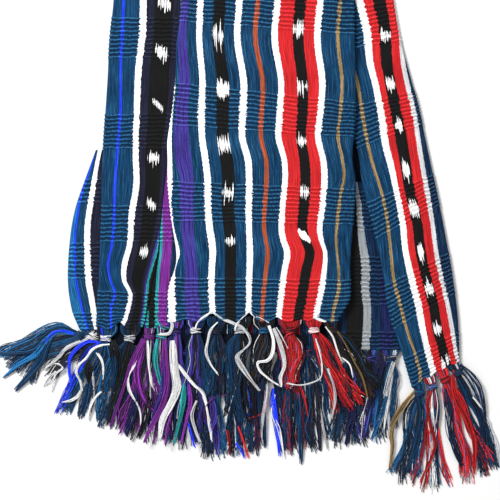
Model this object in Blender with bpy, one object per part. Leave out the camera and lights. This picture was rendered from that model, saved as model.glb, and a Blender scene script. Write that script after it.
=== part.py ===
"""A rebozo shawl, folded in half across its length, gathered in lengthwise pleats and laid flat on a table.

Both fringed ends lie together at -Y, the mid-length fold is at +Y, and the lie rests on Z = 0. The cloth that
shows is a thin wall for each stretch. The layers that are folded away between them share one rounded core.
"""

import math
from collections import namedtuple

import bmesh
import bpy

# Sizes are in millimetres. A place on the lie is given across it, from the left edge of the half-metre
# field that holds the fringed ends, and down it, from that field's top edge. The rest of the shawl runs on
# above that edge, at negative values.
MM = 0.001
FIELD = 500.0
MID_FOLD = -522.0

# Cloth
WALL = 1.6
SEAM = 0.3
TURN_RADIUS = 2.5
TUCK = 8.0
TURN_ANGLES = (270, 210, 150)
FOLD_ANGLES = (22.5, 45.0, 67.5, 90.0)
# Rows along the plain side of the long stretches, and along the short ones
FIELD_STEP = 25.0
FAR_STEP = 58.0
SHORT_STEP = 20.0

# Weft ribs: they come in zones, with smooth cloth between. Each rib is raised in the field, and each zone
# as a whole above it.
ZONE_START = -4.0
ZONE_PERIOD = 92.0
RIBS = 10
RIB_PITCH = 4.2
RIB_RISE = 0.7
SMOOTH_ROWS = 2

# Hems, and the ends of the stretches that slip under others
FRONT_HEM = 322.0
LEFT_HEM = 330.0
CHANNEL_HEM = 328.0
BACK_HEM = 345.0
GAP_HEM = 350.0
FLAP_HEM = 388.0
FLAP_SLANT = 26.0
SLANT_FROM = -40.0
SLANT_POWER = 1.6
BACK_LEFT_TOP = 150.0
CHANNEL_TOP = 152.0
GAP_TOP = 182.0

# The core's layered edges
LAYER = 1.3
LEFT_LAYER = 1.1
LEFT_LAYERS = 3
LAYER_NOTCH = 0.9
FOOT_INSET = 0.4
CORE_FIELD_STEP = 30.0
CORE_FAR_STEP = 65.0
# Places where the core's form changes: where the front end's hidden layers stop, and where the back end's
# left edge comes out
CORE_STEPS = (323.0, 332.0, 310.0, 150.0, 108.0)

# Tassels
RING_POINTS = 12
HEM_HALF_HEIGHT = 0.8
KNOT_AT = 8.0
KNOT_HALF_WIDTH = 4.3
KNOT_HALF_HEIGHT = 2.4
NECK_AT = 13.0
NECK_SHARE = 0.8
NECK_HALF_HEIGHT = 1.9
NECK_DROP = 0.3
LOCK_RADIUS = 1.7
TIP_RADIUS = 0.7
LOCK_STEPS = 3
LOCK_LEVEL = 1.15
# A lock's length varies about this share of the tassel's, and it lies down at this rate along its length.
LENGTH_SHARE = 0.88
LENGTH_VARIES = 0.12
LENGTH_TURN = 2.3
SETTLE_RATE = 1.6
# The six locks of a tassel, in the order of their roots round its neck: how far each leans to the side, and
# on which level it comes to lie
Lock = namedtuple("Lock", "side level")
LOCKS = (Lock(1.0, 1.0), Lock(0.15, 2.0), Lock(-0.65, 2.0), Lock(-1.0, 0.7), Lock(-0.2, 0.0), Lock(0.6, 0.0))

# Edges of the stretches, for each place down the lie
Edges = namedtuple("Edges", "down b_left b_right c_left c_right d_left d_right")
EDGES = (
    Edges(-560, 138, 197, 190, 304, 292, 332),
    Edges(-522, 137, 197, 189, 306, 294, 335),
    Edges(-420, 131, 195, 187, 318, 306, 345),
    Edges(-330, 130, 194, 186, 324, 312, 357),
    Edges(-240, 123, 192, 184, 335, 323, 366),
    Edges(-150, 122, 193, 185, 341, 329, 380),
    Edges(-75, 116, 190, 183, 349, 337, 384),
    Edges(0, 114, 189, 182, 353, 341, 393),
    Edges(40, 110, 186, 178, 354, 342, 400),
    Edges(80, 108, 183, 176, 355, 343, 410),
    Edges(110, 106, 179, 173, 355, 344, 418),
    Edges(140, 104, 173, 168, 353, 354, 424),
    Edges(160, 103, 168, 168, 352, 359, 428),
    Edges(180, 102, 165, 168, 355, 361, 432),
    Edges(220, 102, 161, 172, 353, 371, 440),
    Edges(260, 100, 157, 177, 350, 380, 447),
    Edges(285, 99, 152, 170, 350, 384, 451),
    Edges(300, 98, 150, 168, 349, 386, 453),
    Edges(322, 97, 145, 167, 337, 391, 456),
    Edges(345, 96, 141, 166, 332, 399, 458),
    Edges(388, 96, 138, 166, 330, 412, 459),
)

# Left edge of the back end's cloth, where it looks out from under the left pleat
BackEdge = namedtuple("BackEdge", "down a_left")
BACK_EDGE = (
    BackEdge(150, 96),
    BackEdge(180, 85),
    BackEdge(210, 75),
    BackEdge(240, 70),
    BackEdge(280, 68),
    BackEdge(310, 72),
    BackEdge(330, 80),
)

# Heights of the stretches' edges above the table, and of the core's parts
Heights = namedtuple("Heights", "down b_left c_right d_left d_crown core_left core_mid shelf")
HEIGHTS = (
    Heights(-560, 9.4, 13.4, 6.8, 1.4, 6.2, 10.2, 2.0),
    Heights(110, 9.4, 13.4, 6.8, 1.4, 6.2, 10.2, 2.0),
    Heights(148, 9.4, 13.4, 6.8, 1.8, 6.2, 10.2, 9.2),
    Heights(178, 9.4, 12.8, 10.2, 2.4, 6.2, 10.2, 9.2),
    Heights(310, 9.4, 12.6, 10.2, 2.4, 6.2, 10.2, 9.2),
    Heights(323, 9.2, 12.4, 10.2, 2.2, 5.8, 4.6, 9.2),
    Heights(332, 9.0, 12.4, 10.2, 2.0, 3.4, 4.4, 9.2),
    Heights(352, 9.0, 12.4, 10.2, 1.6, 3.4, 4.4, 9.2),
    Heights(388, 9.0, 12.4, 6.2, 1.0, 3.4, 4.4, 9.2),
)
B_RIGHT_HEIGHT = 6.2
B_CROWN = 1.5
C_LEFT_HEIGHT = 12.6
C_CROWN = 1.0
D_TURN_RADIUS = 2.3
CHANNEL_HEIGHT = 6.0
CHANNEL_SAG = 0.5
GAP_HEIGHT = 4.6
GAP_SAG = 0.2
# How far the gap's cloth runs in under the front panel and under the flap
GAP_UNDER_PANEL = 5.0
GAP_UNDER_FLAP = 7.0
BACK_LEFT_HEIGHT = 2.4
BACK_LEFT_CROWN = 0.9
BACK_LEFT_LIP = 1.7
BACK_LEFT_DIP = 0.4
CORE_CHANNEL = 3.2
CORE_LOW = 1.9
CORE_RIGHT = 3.6
CORE_LEDGE = 3.4
CORE_SHOULDER = 1.2
CORE_SINK = 0.9
# How far in from the pleat's left edge and the flap's right edge the core's sides stand
CORE_WALL_IN = 12.0
CORE_RIGHT_IN = 13.0
LEDGE_WIDTH = 1.5

# The core's outline over the top, from left to right: the place that a point is measured from, how far to the
# right of it the point lies, the level it is measured from and how far above that it lies
CorePoint = namedtuple("CorePoint", "place offset level above")
CORE_TOP = (
    CorePoint("wall", -0.8, "ledge", -0.04),
    CorePoint("wall", 0.0, "shoulder", 0.0),
    CorePoint("wall", 4.0, "left", 0.0),
    CorePoint("left_middle", 0.0, "left", 0.2),
    CorePoint("b_right", -9.0, "sink", 0.0),
    CorePoint("b_right", -3.0, "channel", 0.0),
    CorePoint("c_left", 12.0, "channel", 0.0),
    CorePoint("c_left", 20.0, "middle", 0.0),
    CorePoint("panel_middle", 0.0, "middle", 0.4),
    CorePoint("c_right", -27.0, "middle", 0.0),
    CorePoint("c_right", -19.0, "half_way", 0.0),
    CorePoint("c_right", -14.0, "low", 0.0),
    CorePoint("d_left", 12.0, "low", 0.0),
    CorePoint("d_left", 22.0, "right", 0.0),
    CorePoint("right_side", -2.0, "right", -0.2),
)

# Soft lengthwise swells of the front panel: place across it, from 0 to 1, height and half-width
Swell = namedtuple("Swell", "across height half_width first last")
SWELLS = (
    Swell(0.16, 0.9, 0.15, -420, 130),
    Swell(0.30, -0.7, 0.16, -60, 300),
    Swell(0.52, 1.0, 0.18, -300, 322),
    Swell(0.72, -0.6, 0.15, -522, 180),
    Swell(0.86, 0.9, 0.16, -90, 310),
)
SWELL_FADE = 60.0

# Tassels: where the head meets the hem, how the locks run and how high they lie. Headings are in degrees
# from +X, and 270 is straight down the lie.
Tassel = namedtuple(
    "Tassel",
    "name across down half_width hem_angle hem_height knot_height lie heading bend spread length colour",
)
PURPLE, TEAL, BLUE = (0.10, 0.04, 0.32), (0.01, 0.10, 0.20), (0.02, 0.06, 0.75)
WHITE, BLACK, RED = (0.80, 0.80, 0.80), (0.02, 0.015, 0.015), (0.70, 0.03, 0.04)
TASSELS = (
    Tassel("front_1", 176, 322, 8.6, 0, 11.8, 8.4, 8.0, 268, -2, 6, 98, PURPLE),
    Tassel("front_2", 196, 322, 9.6, 0, 11.8, 8.4, 8.0, 270, 2, 7, 100, BLUE),
    Tassel("front_3", 217, 322, 9.6, 0, 11.8, 8.4, 8.0, 269, -3, 8, 66, WHITE),
    Tassel("front_4", 240, 322, 11.6, 0, 11.8, 8.4, 8.0, 270, 2, 10, 92, TEAL),
    Tassel("front_5", 264, 322, 11.2, 0, 11.8, 8.4, 8.0, 272, -4, 14, 50, BLACK),
    Tassel("front_6", 289, 322, 12.2, 0, 11.8, 8.4, 8.0, 275, 4, 14, 62, RED),
    Tassel("front_7", 312, 322, 9.4, 0, 11.8, 8.4, 8.0, 292, 12, 10, 88, RED),
    Tassel("front_8", 330, 322, 7.2, 0, 11.6, 8.4, 8.0, 304, 8, 14, 72, BLACK),
    Tassel("left_1", 108, 330, 10.6, 0, 8.0, 7.2, 2.1, 244, 6, 16, 84, TEAL),
    Tassel("left_2", 131, 330, 10.6, 0, 7.2, 7.2, 2.1, 264, 4, 12, 92, BLACK),
    Tassel("channel_1", 150, 328, 5.2, 0, 5.0, 7.0, 2.8, 266, 2, 5, 104, WHITE),
    Tassel("channel_2", 162, 328, 5.2, 0, 5.0, 7.0, 2.8, 268, 0, 4, 98, PURPLE),
    Tassel("back_left_1", 86, 330, 5.2, 0, 1.5, 3.2, 2.1, 172, 16, 46, 76, TEAL),
    Tassel("back_left_2", 97.5, 330, 5.2, 0, 1.5, 3.2, 2.1, 216, -8, 14, 66, WHITE),
    Tassel("flap_1", 418.0, 384.7, 6.0, 29, 5.6, 4.6, 2.1, 262, -2, 12, 78, TEAL),
    Tassel("flap_2", 429.6, 378.3, 6.0, 29, 6.0, 4.6, 2.1, 273, 0, 10, 100, WHITE),
    Tassel("flap_3", 441.4, 371.8, 6.0, 29, 5.6, 4.6, 2.1, 285, -2, 10, 104, RED),
    Tassel("flap_4", 453.0, 365.4, 6.0, 29, 4.6, 4.4, 2.1, 298, -16, 8, 102, TEAL),
    Tassel("back_1", 182, 345, 11.6, 0, 2.4, 3.2, 2.1, 268, 0, 10, 94, BLUE),
    Tassel("back_2", 207, 345, 11.6, 0, 2.4, 3.2, 2.1, 271, 0, 10, 102, TEAL),
    Tassel("back_3", 232, 345, 11.6, 0, 2.4, 3.2, 2.1, 270, 0, 10, 102, BLACK),
    Tassel("back_4", 257, 345, 11.6, 0, 2.4, 3.2, 2.1, 269, 0, 10, 99, TEAL),
    Tassel("back_5", 282, 345, 11.6, 0, 2.4, 3.2, 2.1, 271, 0, 10, 102, WHITE),
    Tassel("back_6", 307, 345, 11.6, 0, 2.4, 3.2, 2.1, 270, 0, 10, 96, RED),
    Tassel("gap_1", 350, 350, 9.6, 0, 3.8, 3.2, 2.1, 268, 0, 10, 84, BLUE),
    Tassel("gap_2", 371, 350, 9.6, 0, 3.8, 3.2, 2.1, 267, 0, 9, 80, TEAL),
    Tassel("gap_3", 391, 350, 9.6, 0, 3.8, 3.2, 2.1, 262, 0, 8, 66, PURPLE),
)

# A station is a row of points across a stretch: its place down the lie and its turn round the mid fold.
Station = namedtuple("Station", "down turn")


def clear_scene():
    for item in list(bpy.data.objects):
        bpy.data.objects.remove(item, do_unlink=True)


def smooth(rows, column, down):
    """A column's value at a place down the lie, on a smooth curve through the table's rows."""
    places = [row.down for row in rows]
    values = [getattr(row, column) for row in rows]
    last = len(rows) - 1
    k = 0
    while k < last - 1 and down > places[k + 1]:
        k += 1

    def slope(i):
        low, high = max(i - 1, 0), min(i + 1, last)
        return (values[high] - values[low]) / (places[high] - places[low])

    step = places[k + 1] - places[k]
    f = min(max((down - places[k]) / step, 0.0), 1.0)
    start = (1 + 2 * f) * (1 - f) ** 2 * values[k] + f * (1 - f) ** 2 * step * slope(k)
    return start + f * f * (3 - 2 * f) * values[k + 1] + f * f * (f - 1) * step * slope(k + 1)


def linear(rows, column, down):
    """A column's value at a place down the lie, on straight lines through the table's rows."""
    for low, high in zip(rows, rows[1:]):
        if down <= high.down or high is rows[-1]:
            f = min(max((down - low.down) / (high.down - low.down), 0.0), 1.0)
            return getattr(low, column) * (1 - f) + getattr(high, column) * f
    return getattr(rows[-1], column)


def edge(column, down):
    return smooth(EDGES, column, down)


def height(column, down):
    return linear(HEIGHTS, column, down)


def plain_stations(hem, top, fine, coarse):
    """Stations from the hem up: close together in the field, further apart above it."""
    places = [hem]
    while places[-1] > top:
        step = fine if places[-1] > 0 else coarse
        places.append(max(places[-1] - step, top))
    if len(places) > 2 and places[-2] - places[-1] < fine / 2:
        places.pop(-2)
    return [Station(down, 0.0) for down in places]


def ribbed_stations(hem, top):
    """Stations: a pair for each rib, or two pairs for a zone raised as a whole, and a few between zones."""
    places = {hem, top}
    zone = ZONE_START + ZONE_PERIOD * math.ceil((hem - ZONE_START) / ZONE_PERIOD)
    ribbed = RIBS * RIB_PITCH
    while zone + ZONE_PERIOD > top:
        halves = range(2 * RIBS + 1) if zone + ribbed > 0 else (0, 1, 2 * RIBS - 1, 2 * RIBS)
        places.update(zone + half * RIB_PITCH / 2 for half in halves)
        gap = (ZONE_PERIOD - ribbed) / (SMOOTH_ROWS + 1)
        places.update(zone + ribbed + row * gap for row in range(1, SMOOTH_ROWS + 1))
        zone -= ZONE_PERIOD
    inside = sorted((p for p in places if top + 1 < p < hem - 1), reverse=True)
    return [Station(down, 0.0) for down in [hem, *inside, top]]


def round_the_fold(stations):
    return stations + [Station(MID_FOLD, angle) for angle in FOLD_ANGLES]


def rib_rise(down):
    """How far a rib stands out at a place down the lie."""
    along = (down - ZONE_START) % ZONE_PERIOD
    ribbed = RIBS * RIB_PITCH
    if along > ribbed + 0.01:
        return 0.0
    if down - along + ribbed <= 0:
        return RIB_RISE * min(along, ribbed - along, RIB_PITCH / 2) / (RIB_PITCH / 2)
    return RIB_RISE * (0.5 - 0.5 * math.cos(2 * math.pi * along / RIB_PITCH))


def place(x, z, station, shift=0.0):
    """The point of a section at a station, in metres. Past the mid-length fold the section turns down."""
    turn = math.radians(station.turn)
    y = FIELD / 2 - station.down + shift + z * math.sin(turn)
    return ((x - FIELD / 2) * MM, y * MM, z * math.cos(turn) * MM)


def turned_edge(x, z, side, radius):
    """Outer and inner points of a turned edge, from its tucked end up to its top; side is -1 at the left."""
    inward = -side
    centre_x, centre_z = x + inward * radius, z - radius
    outer = [(centre_x + inward * TUCK, z - 2 * radius)]
    inner = [(centre_x + inward * TUCK, z - 2 * radius + WALL)]
    for angle in TURN_ANGLES:
        a = math.radians(angle)
        outer.append((centre_x + inward * radius * math.cos(a), centre_z + radius * math.sin(a)))
    inside = radius - WALL
    inner.append((centre_x, centre_z - inside))
    inner.append((centre_x - inward * inside, centre_z))
    return outer, inner


def stretch_section(left, right, columns, top_height, turns, radius=TURN_RADIUS):
    """Outer points, inner points, and the range of the outer ones that carry ribs, for a stretch of cloth.

    top_height gives the height for each place across, from 0 to 1. turns says which edges turn under.
    """
    low = left + (radius if turns[0] else 0)
    high = right - (radius if turns[1] else 0)
    top = [(low + (high - low) * k / columns, top_height(k / columns)) for k in range(columns + 1)]
    under = [(x, z - WALL) for x, z in top[::2]]
    if top[::2][-1] != top[-1]:
        under.append((top[-1][0], top[-1][1] - WALL))
    outer, inner = [], []
    if turns[0]:
        outer, inner = turned_edge(left, top_height(0.0), -1, radius)
    first = len(outer)
    outer = outer + top
    inner = inner + under
    if turns[1]:
        far_outer, far_inner = turned_edge(right, top_height(1.0), 1, radius)
        outer += far_outer[::-1]
        inner += far_inner[::-1]
    return outer, inner, range(first, first + len(top))


def left_pleat_section(down):
    left_height = height("b_left", down)

    def top(across):
        crown = B_CROWN * math.sin(math.pi * across) ** 2
        return left_height + (B_RIGHT_HEIGHT - left_height) * across + crown

    return stretch_section(edge("b_left", down), edge("b_right", down), 3, top, (True, False))


def front_panel_section(down):
    right_height = height("c_right", down)

    def top(across):
        z = C_LEFT_HEIGHT + (right_height - C_LEFT_HEIGHT) * across + C_CROWN * math.sin(math.pi * across)
        for swell in SWELLS:
            ends = min(down - swell.first, swell.last - down) / SWELL_FADE
            near = 1 - ((across - swell.across) / swell.half_width) ** 2
            if near > 0:
                z += swell.height * near * near * min(max(ends, 0.0), 1.0)
        return z

    return stretch_section(edge("c_left", down), edge("c_right", down), 7, top, (True, True))


def right_flap_section(down):
    left_height, crown = height("d_left", down), height("d_crown", down)

    def top(across):
        low = 2 * D_TURN_RADIUS
        return left_height + (low - left_height) * across + crown * math.sin(math.pi * across)

    return stretch_section(edge("d_left", down), edge("d_right", down), 3, top, (True, True), D_TURN_RADIUS)


def channel_section(down):
    """The cloth that sinks from the left pleat and slips under the front panel."""

    def top(across):
        return CHANNEL_HEIGHT - CHANNEL_SAG * math.sin(math.pi * across)

    left = edge("b_right", down) + 2 * SEAM
    return stretch_section(left, edge("c_left", down) + TUCK, 2, top, (False, False))


def gap_section(down):
    """The back end's cloth, seen low down between the front panel and the right flap."""

    def top(across):
        return GAP_HEIGHT - GAP_SAG * math.sin(math.pi * across)

    left, right = edge("c_right", down) - GAP_UNDER_PANEL, edge("d_left", down) + GAP_UNDER_FLAP
    return stretch_section(left, right, 4, top, (False, False))


def back_left_section(down):
    """The back end's left edge, flat on the table and crowned above."""
    left, right = smooth(BACK_EDGE, "a_left", down), edge("b_left", down) + height("shelf", down) - SEAM
    columns = 4
    outer = []
    for k in range(columns + 1):
        across = k / columns
        rise = BACK_LEFT_HEIGHT + BACK_LEFT_CROWN * math.sin(math.pi * across)
        if k == 0:
            rise = BACK_LEFT_LIP
        if k == columns:
            rise -= BACK_LEFT_DIP
        outer.append((left + (right - left) * across, rise))
    inner = [(x, 0.0) for x in (left, (left + right) / 2, right)]
    return outer, inner, range(columns + 1)


def core_section(down):
    """The outline of the folded-away layers, over the top from the table at the left to that at the right."""
    b_right, c_left = edge("b_right", down), edge("c_left", down)
    c_right, d_left = edge("c_right", down), edge("d_left", down)
    left_top, mid_top = height("core_left", down), height("core_mid", down)
    channel = min(CORE_CHANNEL, left_top)
    shelf = edge("b_left", down) + height("shelf", down)
    wall = max(edge("b_left", down) + CORE_WALL_IN, shelf + LEDGE_WIDTH)
    right_side = edge("d_right", down) - CORE_RIGHT_IN
    places = {
        "wall": wall, "left_middle": (wall + b_right) / 2, "b_right": b_right, "c_left": c_left,
        "panel_middle": (c_left + c_right) / 2, "c_right": c_right, "d_left": d_left,
        "right_side": right_side,
    }
    levels = {
        "ledge": CORE_LEDGE, "shoulder": max(left_top - CORE_SHOULDER, CORE_LEDGE), "left": left_top,
        "sink": min(channel + CORE_SINK, left_top), "channel": channel, "middle": mid_top,
        "half_way": mid_top / 2, "low": CORE_LOW, "right": CORE_RIGHT,
    }
    points = [(shelf + FOOT_INSET, 0.0)]
    for layer in range(LEFT_LAYERS):
        points.append((shelf, (layer + 0.5) * LEFT_LAYER))
        points.append((shelf + LAYER_NOTCH, (layer + 1) * LEFT_LAYER))
    points += [(places[p.place] + p.offset, levels[p.level] + p.above) for p in CORE_TOP]
    for layer in (2, 1):
        points.append((right_side, (layer + 0.5) * LAYER))
        points.append((right_side - LAYER_NOTCH, layer * LAYER))
    points += [(right_side, 0.5 * LAYER), (right_side - FOOT_INSET, 0.0)]
    return points


def new_object(name, bm, colour):
    """An object from the closed mesh, facing outwards, with its own cloth material."""
    bmesh.ops.recalc_face_normals(bm, faces=bm.faces)
    if bm.calc_volume(signed=True) < 0:
        bmesh.ops.reverse_faces(bm, faces=bm.faces)
    mesh = bpy.data.meshes.new(name)
    bm.to_mesh(mesh)
    bm.free()
    material = bpy.data.materials.new(name + "_cotton")
    material.use_nodes = True
    shader = material.node_tree.nodes["Principled BSDF"]
    shader.inputs["Base Color"].default_value = (*colour, 1.0)
    shader.inputs["Roughness"].default_value = 0.85
    shader.inputs["Metallic"].default_value = 0.0
    mesh.materials.append(material)
    item = bpy.data.objects.new(name, mesh)
    bpy.context.scene.collection.objects.link(item)
    return item


def stitch(bm, one, other):
    """Joins two columns of (station, vertex) that begin and end together but may hold different stations."""

    def order(entry):
        return (-entry[0].down, entry[0].turn)

    i = j = 0
    while i < len(one) - 1 or j < len(other) - 1:
        a, b = one[i][1], other[j][1]
        next_one = order(one[i + 1]) if i < len(one) - 1 else (math.inf, 0)
        next_other = order(other[j + 1]) if j < len(other) - 1 else (math.inf, 0)
        if next_one == next_other:
            bm.faces.new((a, one[i + 1][1], other[j + 1][1], b))
            i, j = i + 1, j + 1
        elif next_one < next_other:
            bm.faces.new((a, one[i + 1][1], b))
            i += 1
        else:
            bm.faces.new((a, other[j + 1][1], b))
            j += 1


def cloth_stretch(name, section, plain, ribbed, colour, slant=None):
    """A stretch of cloth: a wall with ribs raised in its outer points over a plain inside."""
    bm = bmesh.new()

    def column(side, k, stations, raised):
        made = []
        for station in stations:
            points = section(station.down)
            x, z = points[side][k]
            left, right = min(p[0] for p in points[0]), max(p[0] for p in points[0])
            shift = slant(station.down) * (x - left) / (right - left) if slant else 0.0
            rise = rib_rise(station.down) if raised and not station.turn else 0.0
            made.append((station, bm.verts.new(place(x, z + rise, station, shift))))
        return made

    outer, inner, ribs = section(plain[0].down)
    ring = [column(0, k, ribbed if k in ribs else plain, k in ribs) for k in range(len(outer))]
    ring += [column(1, k, plain, False) for k in reversed(range(len(inner)))]
    for one, other in zip(ring, ring[1:] + ring[:1]):
        stitch(bm, one, other)
    bm.faces.new([entry[0][1] for entry in ring])
    bm.faces.new([entry[-1][1] for entry in ring])
    return new_object(name, bm, colour)


def flap_slant(down):
    """How much further up the right side of the flap's rows lies than their left side."""
    return FLAP_SLANT * min(max((down - SLANT_FROM) / (FLAP_HEM - SLANT_FROM), 0.0), 1.0) ** SLANT_POWER


def folded_core(colour):
    """The layers that are folded away, as one solid with a flat underside."""
    bm = bmesh.new()
    stations = round_the_fold(plain_stations(BACK_HEM, MID_FOLD, CORE_FIELD_STEP, CORE_FAR_STEP))
    stations += [Station(down, 0.0) for down in CORE_STEPS]
    stations.sort(key=lambda station: (-station.down, station.turn))
    rows = []
    for station in stations:
        points = core_section(station.down)
        row = [None if station.turn and k in (0, len(points) - 1) else bm.verts.new(place(x, z, station))
               for k, (x, z) in enumerate(points)]
        if station.turn:
            row[0], row[-1] = rows[-1][0], rows[-1][-1]
        rows.append(row)
    for row, following in zip(rows, rows[1:]):
        for k in range(len(row) - 1):
            corners = [row[k], row[k + 1], following[k + 1], following[k]]
            bm.faces.new(list(dict.fromkeys(corners)))
    bm.faces.new(rows[0])
    lefts = list(dict.fromkeys(row[0] for row in rows))
    rights = list(dict.fromkeys(row[-1] for row in rows))
    bm.faces.new(lefts + rows[-1][1:-1] + rights[::-1])
    return new_object("folded_core", bm, colour)


def towards(heading):
    angle = math.radians(heading)
    return math.cos(angle), math.sin(angle)


def tassel_ring(bm, centre, facing, half_width, half_height):
    """A ring of points across a tassel's head, facing along it."""
    side_x, side_y = towards(facing + 90)
    ring = []
    for k in range(RING_POINTS):
        angle = 2 * math.pi * (k + 0.5) / RING_POINTS
        out, up = half_width * math.cos(angle), half_height * math.sin(angle)
        ring.append(bm.verts.new(((centre[0] + out * side_x) * MM, (centre[1] + out * side_y) * MM,
                                  (centre[2] + up) * MM)))
    return ring


def lock(bm, root, tassel, number):
    """One lock of yarn, extruded from a triangle of the head's underside."""
    centre = sum((vert.co for vert in root), root[0].co * 0) / 3
    x, y, z = (value / MM for value in centre)
    lean, level = LOCKS[number]
    length = tassel.length * (LENGTH_SHARE + LENGTH_VARIES * math.cos(LENGTH_TURN * number + tassel.across))
    corners = [(vert.co - centre) for vert in root]
    scale_to = max(corner.length for corner in corners) / MM
    previous = list(root)
    end_height = tassel.lie + LOCK_LEVEL * level
    for step in range(1, LOCK_STEPS + 1):
        f = step / LOCK_STEPS
        mid = (step - 0.5) / LOCK_STEPS
        heading = tassel.heading + tassel.bend * mid + tassel.spread / 2 * lean
        dx, dy = towards(heading)
        x, y = x + dx * length / LOCK_STEPS, y + dy * length / LOCK_STEPS
        here_z = z + (end_height - z) * min(f * SETTLE_RATE, 1.0)
        radius = LOCK_RADIUS + (TIP_RADIUS - LOCK_RADIUS) * (f ** 3)
        side_x, side_y = towards(heading + 90)
        ring = []
        for corner in corners:
            # The triangle keeps its own turn about the lock, and grows or shrinks to the lock's size.
            along_side = (corner.x * side_x + corner.y * side_y) / MM / scale_to * radius
            up = corner.z / MM / scale_to * radius
            ring.append(bm.verts.new(((x + along_side * side_x) * MM, (y + along_side * side_y) * MM,
                                      (here_z + up) * MM)))
        for k in range(3):
            bm.faces.new((previous[k], previous[(k + 1) % 3], ring[(k + 1) % 3], ring[k]))
        previous = ring
    bm.faces.new(previous)


def tassel_object(tassel):
    """A knotted tassel: the warp drawn in from the hem, the knot, and the loose locks below it."""
    bm = bmesh.new()
    across, up_y = tassel.across - FIELD / 2, FIELD / 2 - tassel.down
    down_hem = tassel.hem_angle - 90
    half_turn = ((tassel.heading - down_hem + 180) % 360 - 180) / 2
    out_x, out_y = towards(down_hem)
    start = (across + out_x * SEAM, up_y + out_y * SEAM, tassel.hem_height)
    knot_x, knot_y = towards(down_hem + half_turn)
    knot = (start[0] + knot_x * KNOT_AT, start[1] + knot_y * KNOT_AT, tassel.knot_height)
    neck_x, neck_y = towards(tassel.heading)
    neck_run = NECK_AT - KNOT_AT
    neck = (knot[0] + neck_x * neck_run, knot[1] + neck_y * neck_run, tassel.knot_height - NECK_DROP)
    knot_width = min(KNOT_HALF_WIDTH, tassel.half_width)
    rings = [
        tassel_ring(bm, start, down_hem, tassel.half_width, HEM_HALF_HEIGHT),
        tassel_ring(bm, knot, down_hem + half_turn, knot_width, KNOT_HALF_HEIGHT),
        tassel_ring(bm, neck, tassel.heading, knot_width * NECK_SHARE, NECK_HALF_HEIGHT),
    ]
    for ring, following in zip(rings, rings[1:]):
        for k in range(RING_POINTS):
            n = (k + 1) % RING_POINTS
            bm.faces.new((ring[k], ring[n], following[n], following[k]))
    bm.faces.new(rings[0])
    middle = bm.verts.new(((neck[0] + neck_x) * MM, (neck[1] + neck_y) * MM, neck[2] * MM))
    for k in range(RING_POINTS):
        pair = (rings[-1][k], rings[-1][(k + 1) % RING_POINTS])
        if k % 2:
            bm.faces.new((*pair, middle))
            continue
        lock(bm, (*pair, middle), tassel, k // 2)
    return new_object("tassel_" + tassel.name, bm, tassel.colour)


def centre_on_origin(objects):
    """Moves the whole lie so that the origin is at the bottom centre of its box."""
    points = [vert.co for item in objects for vert in item.data.vertices]
    middle_x = (min(p.x for p in points) + max(p.x for p in points)) / 2
    middle_y = (min(p.y for p in points) + max(p.y for p in points)) / 2
    for item in objects:
        for vert in item.data.vertices:
            vert.co.x -= middle_x
            vert.co.y -= middle_y


def build():
    clear_scene()
    full = {
        "front_panel": (front_panel_section, FRONT_HEM, TEAL, None),
        "left_pleat": (left_pleat_section, LEFT_HEM, TEAL, None),
        "right_flap": (right_flap_section, FLAP_HEM, RED, flap_slant),
    }
    made = [folded_core(TEAL)]
    for name, (section, hem, colour, slant) in full.items():
        plain = round_the_fold(plain_stations(hem, MID_FOLD, FIELD_STEP, FAR_STEP))
        ribbed = round_the_fold(ribbed_stations(hem, MID_FOLD))
        made.append(cloth_stretch(name, section, plain, ribbed, colour, slant))
    short = {
        "pleat_channel": (channel_section, CHANNEL_HEM, CHANNEL_TOP, PURPLE),
        "back_end_gap": (gap_section, GAP_HEM, GAP_TOP, BLACK),
        "back_end_left": (back_left_section, LEFT_HEM, BACK_LEFT_TOP, TEAL),
    }
    for name, (section, hem, top, colour) in short.items():
        plain = plain_stations(hem, top, SHORT_STEP, SHORT_STEP)
        made.append(cloth_stretch(name, section, plain, ribbed_stations(hem, top), colour))
    made += [tassel_object(tassel) for tassel in TASSELS]
    centre_on_origin(made)


build()
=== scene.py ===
import math
from collections import namedtuple

import bpy
import numpy as np
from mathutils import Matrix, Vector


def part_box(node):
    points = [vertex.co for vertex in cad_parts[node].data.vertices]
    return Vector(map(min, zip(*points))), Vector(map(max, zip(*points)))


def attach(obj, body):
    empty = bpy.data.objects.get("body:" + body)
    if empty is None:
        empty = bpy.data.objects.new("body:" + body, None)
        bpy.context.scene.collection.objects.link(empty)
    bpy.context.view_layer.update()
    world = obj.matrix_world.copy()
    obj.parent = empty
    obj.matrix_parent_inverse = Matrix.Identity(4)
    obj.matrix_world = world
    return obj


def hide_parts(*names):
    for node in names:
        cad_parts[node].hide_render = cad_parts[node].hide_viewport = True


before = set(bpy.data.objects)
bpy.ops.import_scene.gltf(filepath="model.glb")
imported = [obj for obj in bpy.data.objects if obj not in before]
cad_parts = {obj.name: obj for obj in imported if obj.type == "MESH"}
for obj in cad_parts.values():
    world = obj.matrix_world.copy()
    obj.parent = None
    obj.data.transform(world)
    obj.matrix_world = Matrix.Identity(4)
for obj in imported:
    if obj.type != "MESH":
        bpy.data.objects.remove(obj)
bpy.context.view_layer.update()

# The shawl's stretches of cloth and its tassels, as fine shells and yarns over the frame's solids.
# Sizes are in millimetres. A place is given across the lie and down it, from the top left corner of the
# half-metre field that holds the fringed ends. The rest of the shawl runs on above, at negative values.
MM = 0.001
FIELD = 500.0
MID_FOLD = -522.0
FRONT_HEM = 322.0
LEFT_HEM = 330.0
CHANNEL_HEM = 328.0
GAP_HEM = 350.0
BACK_HEM = 345.0
FLAP_HEM = 388.0
FLAP_SLANT = 26.0
BACK_LEFT_TOP = 150.0
CHANNEL_TOP = 152.0
GAP_TOP = 182.0
HEM_CORNER_ACROSS = 167.0

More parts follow.
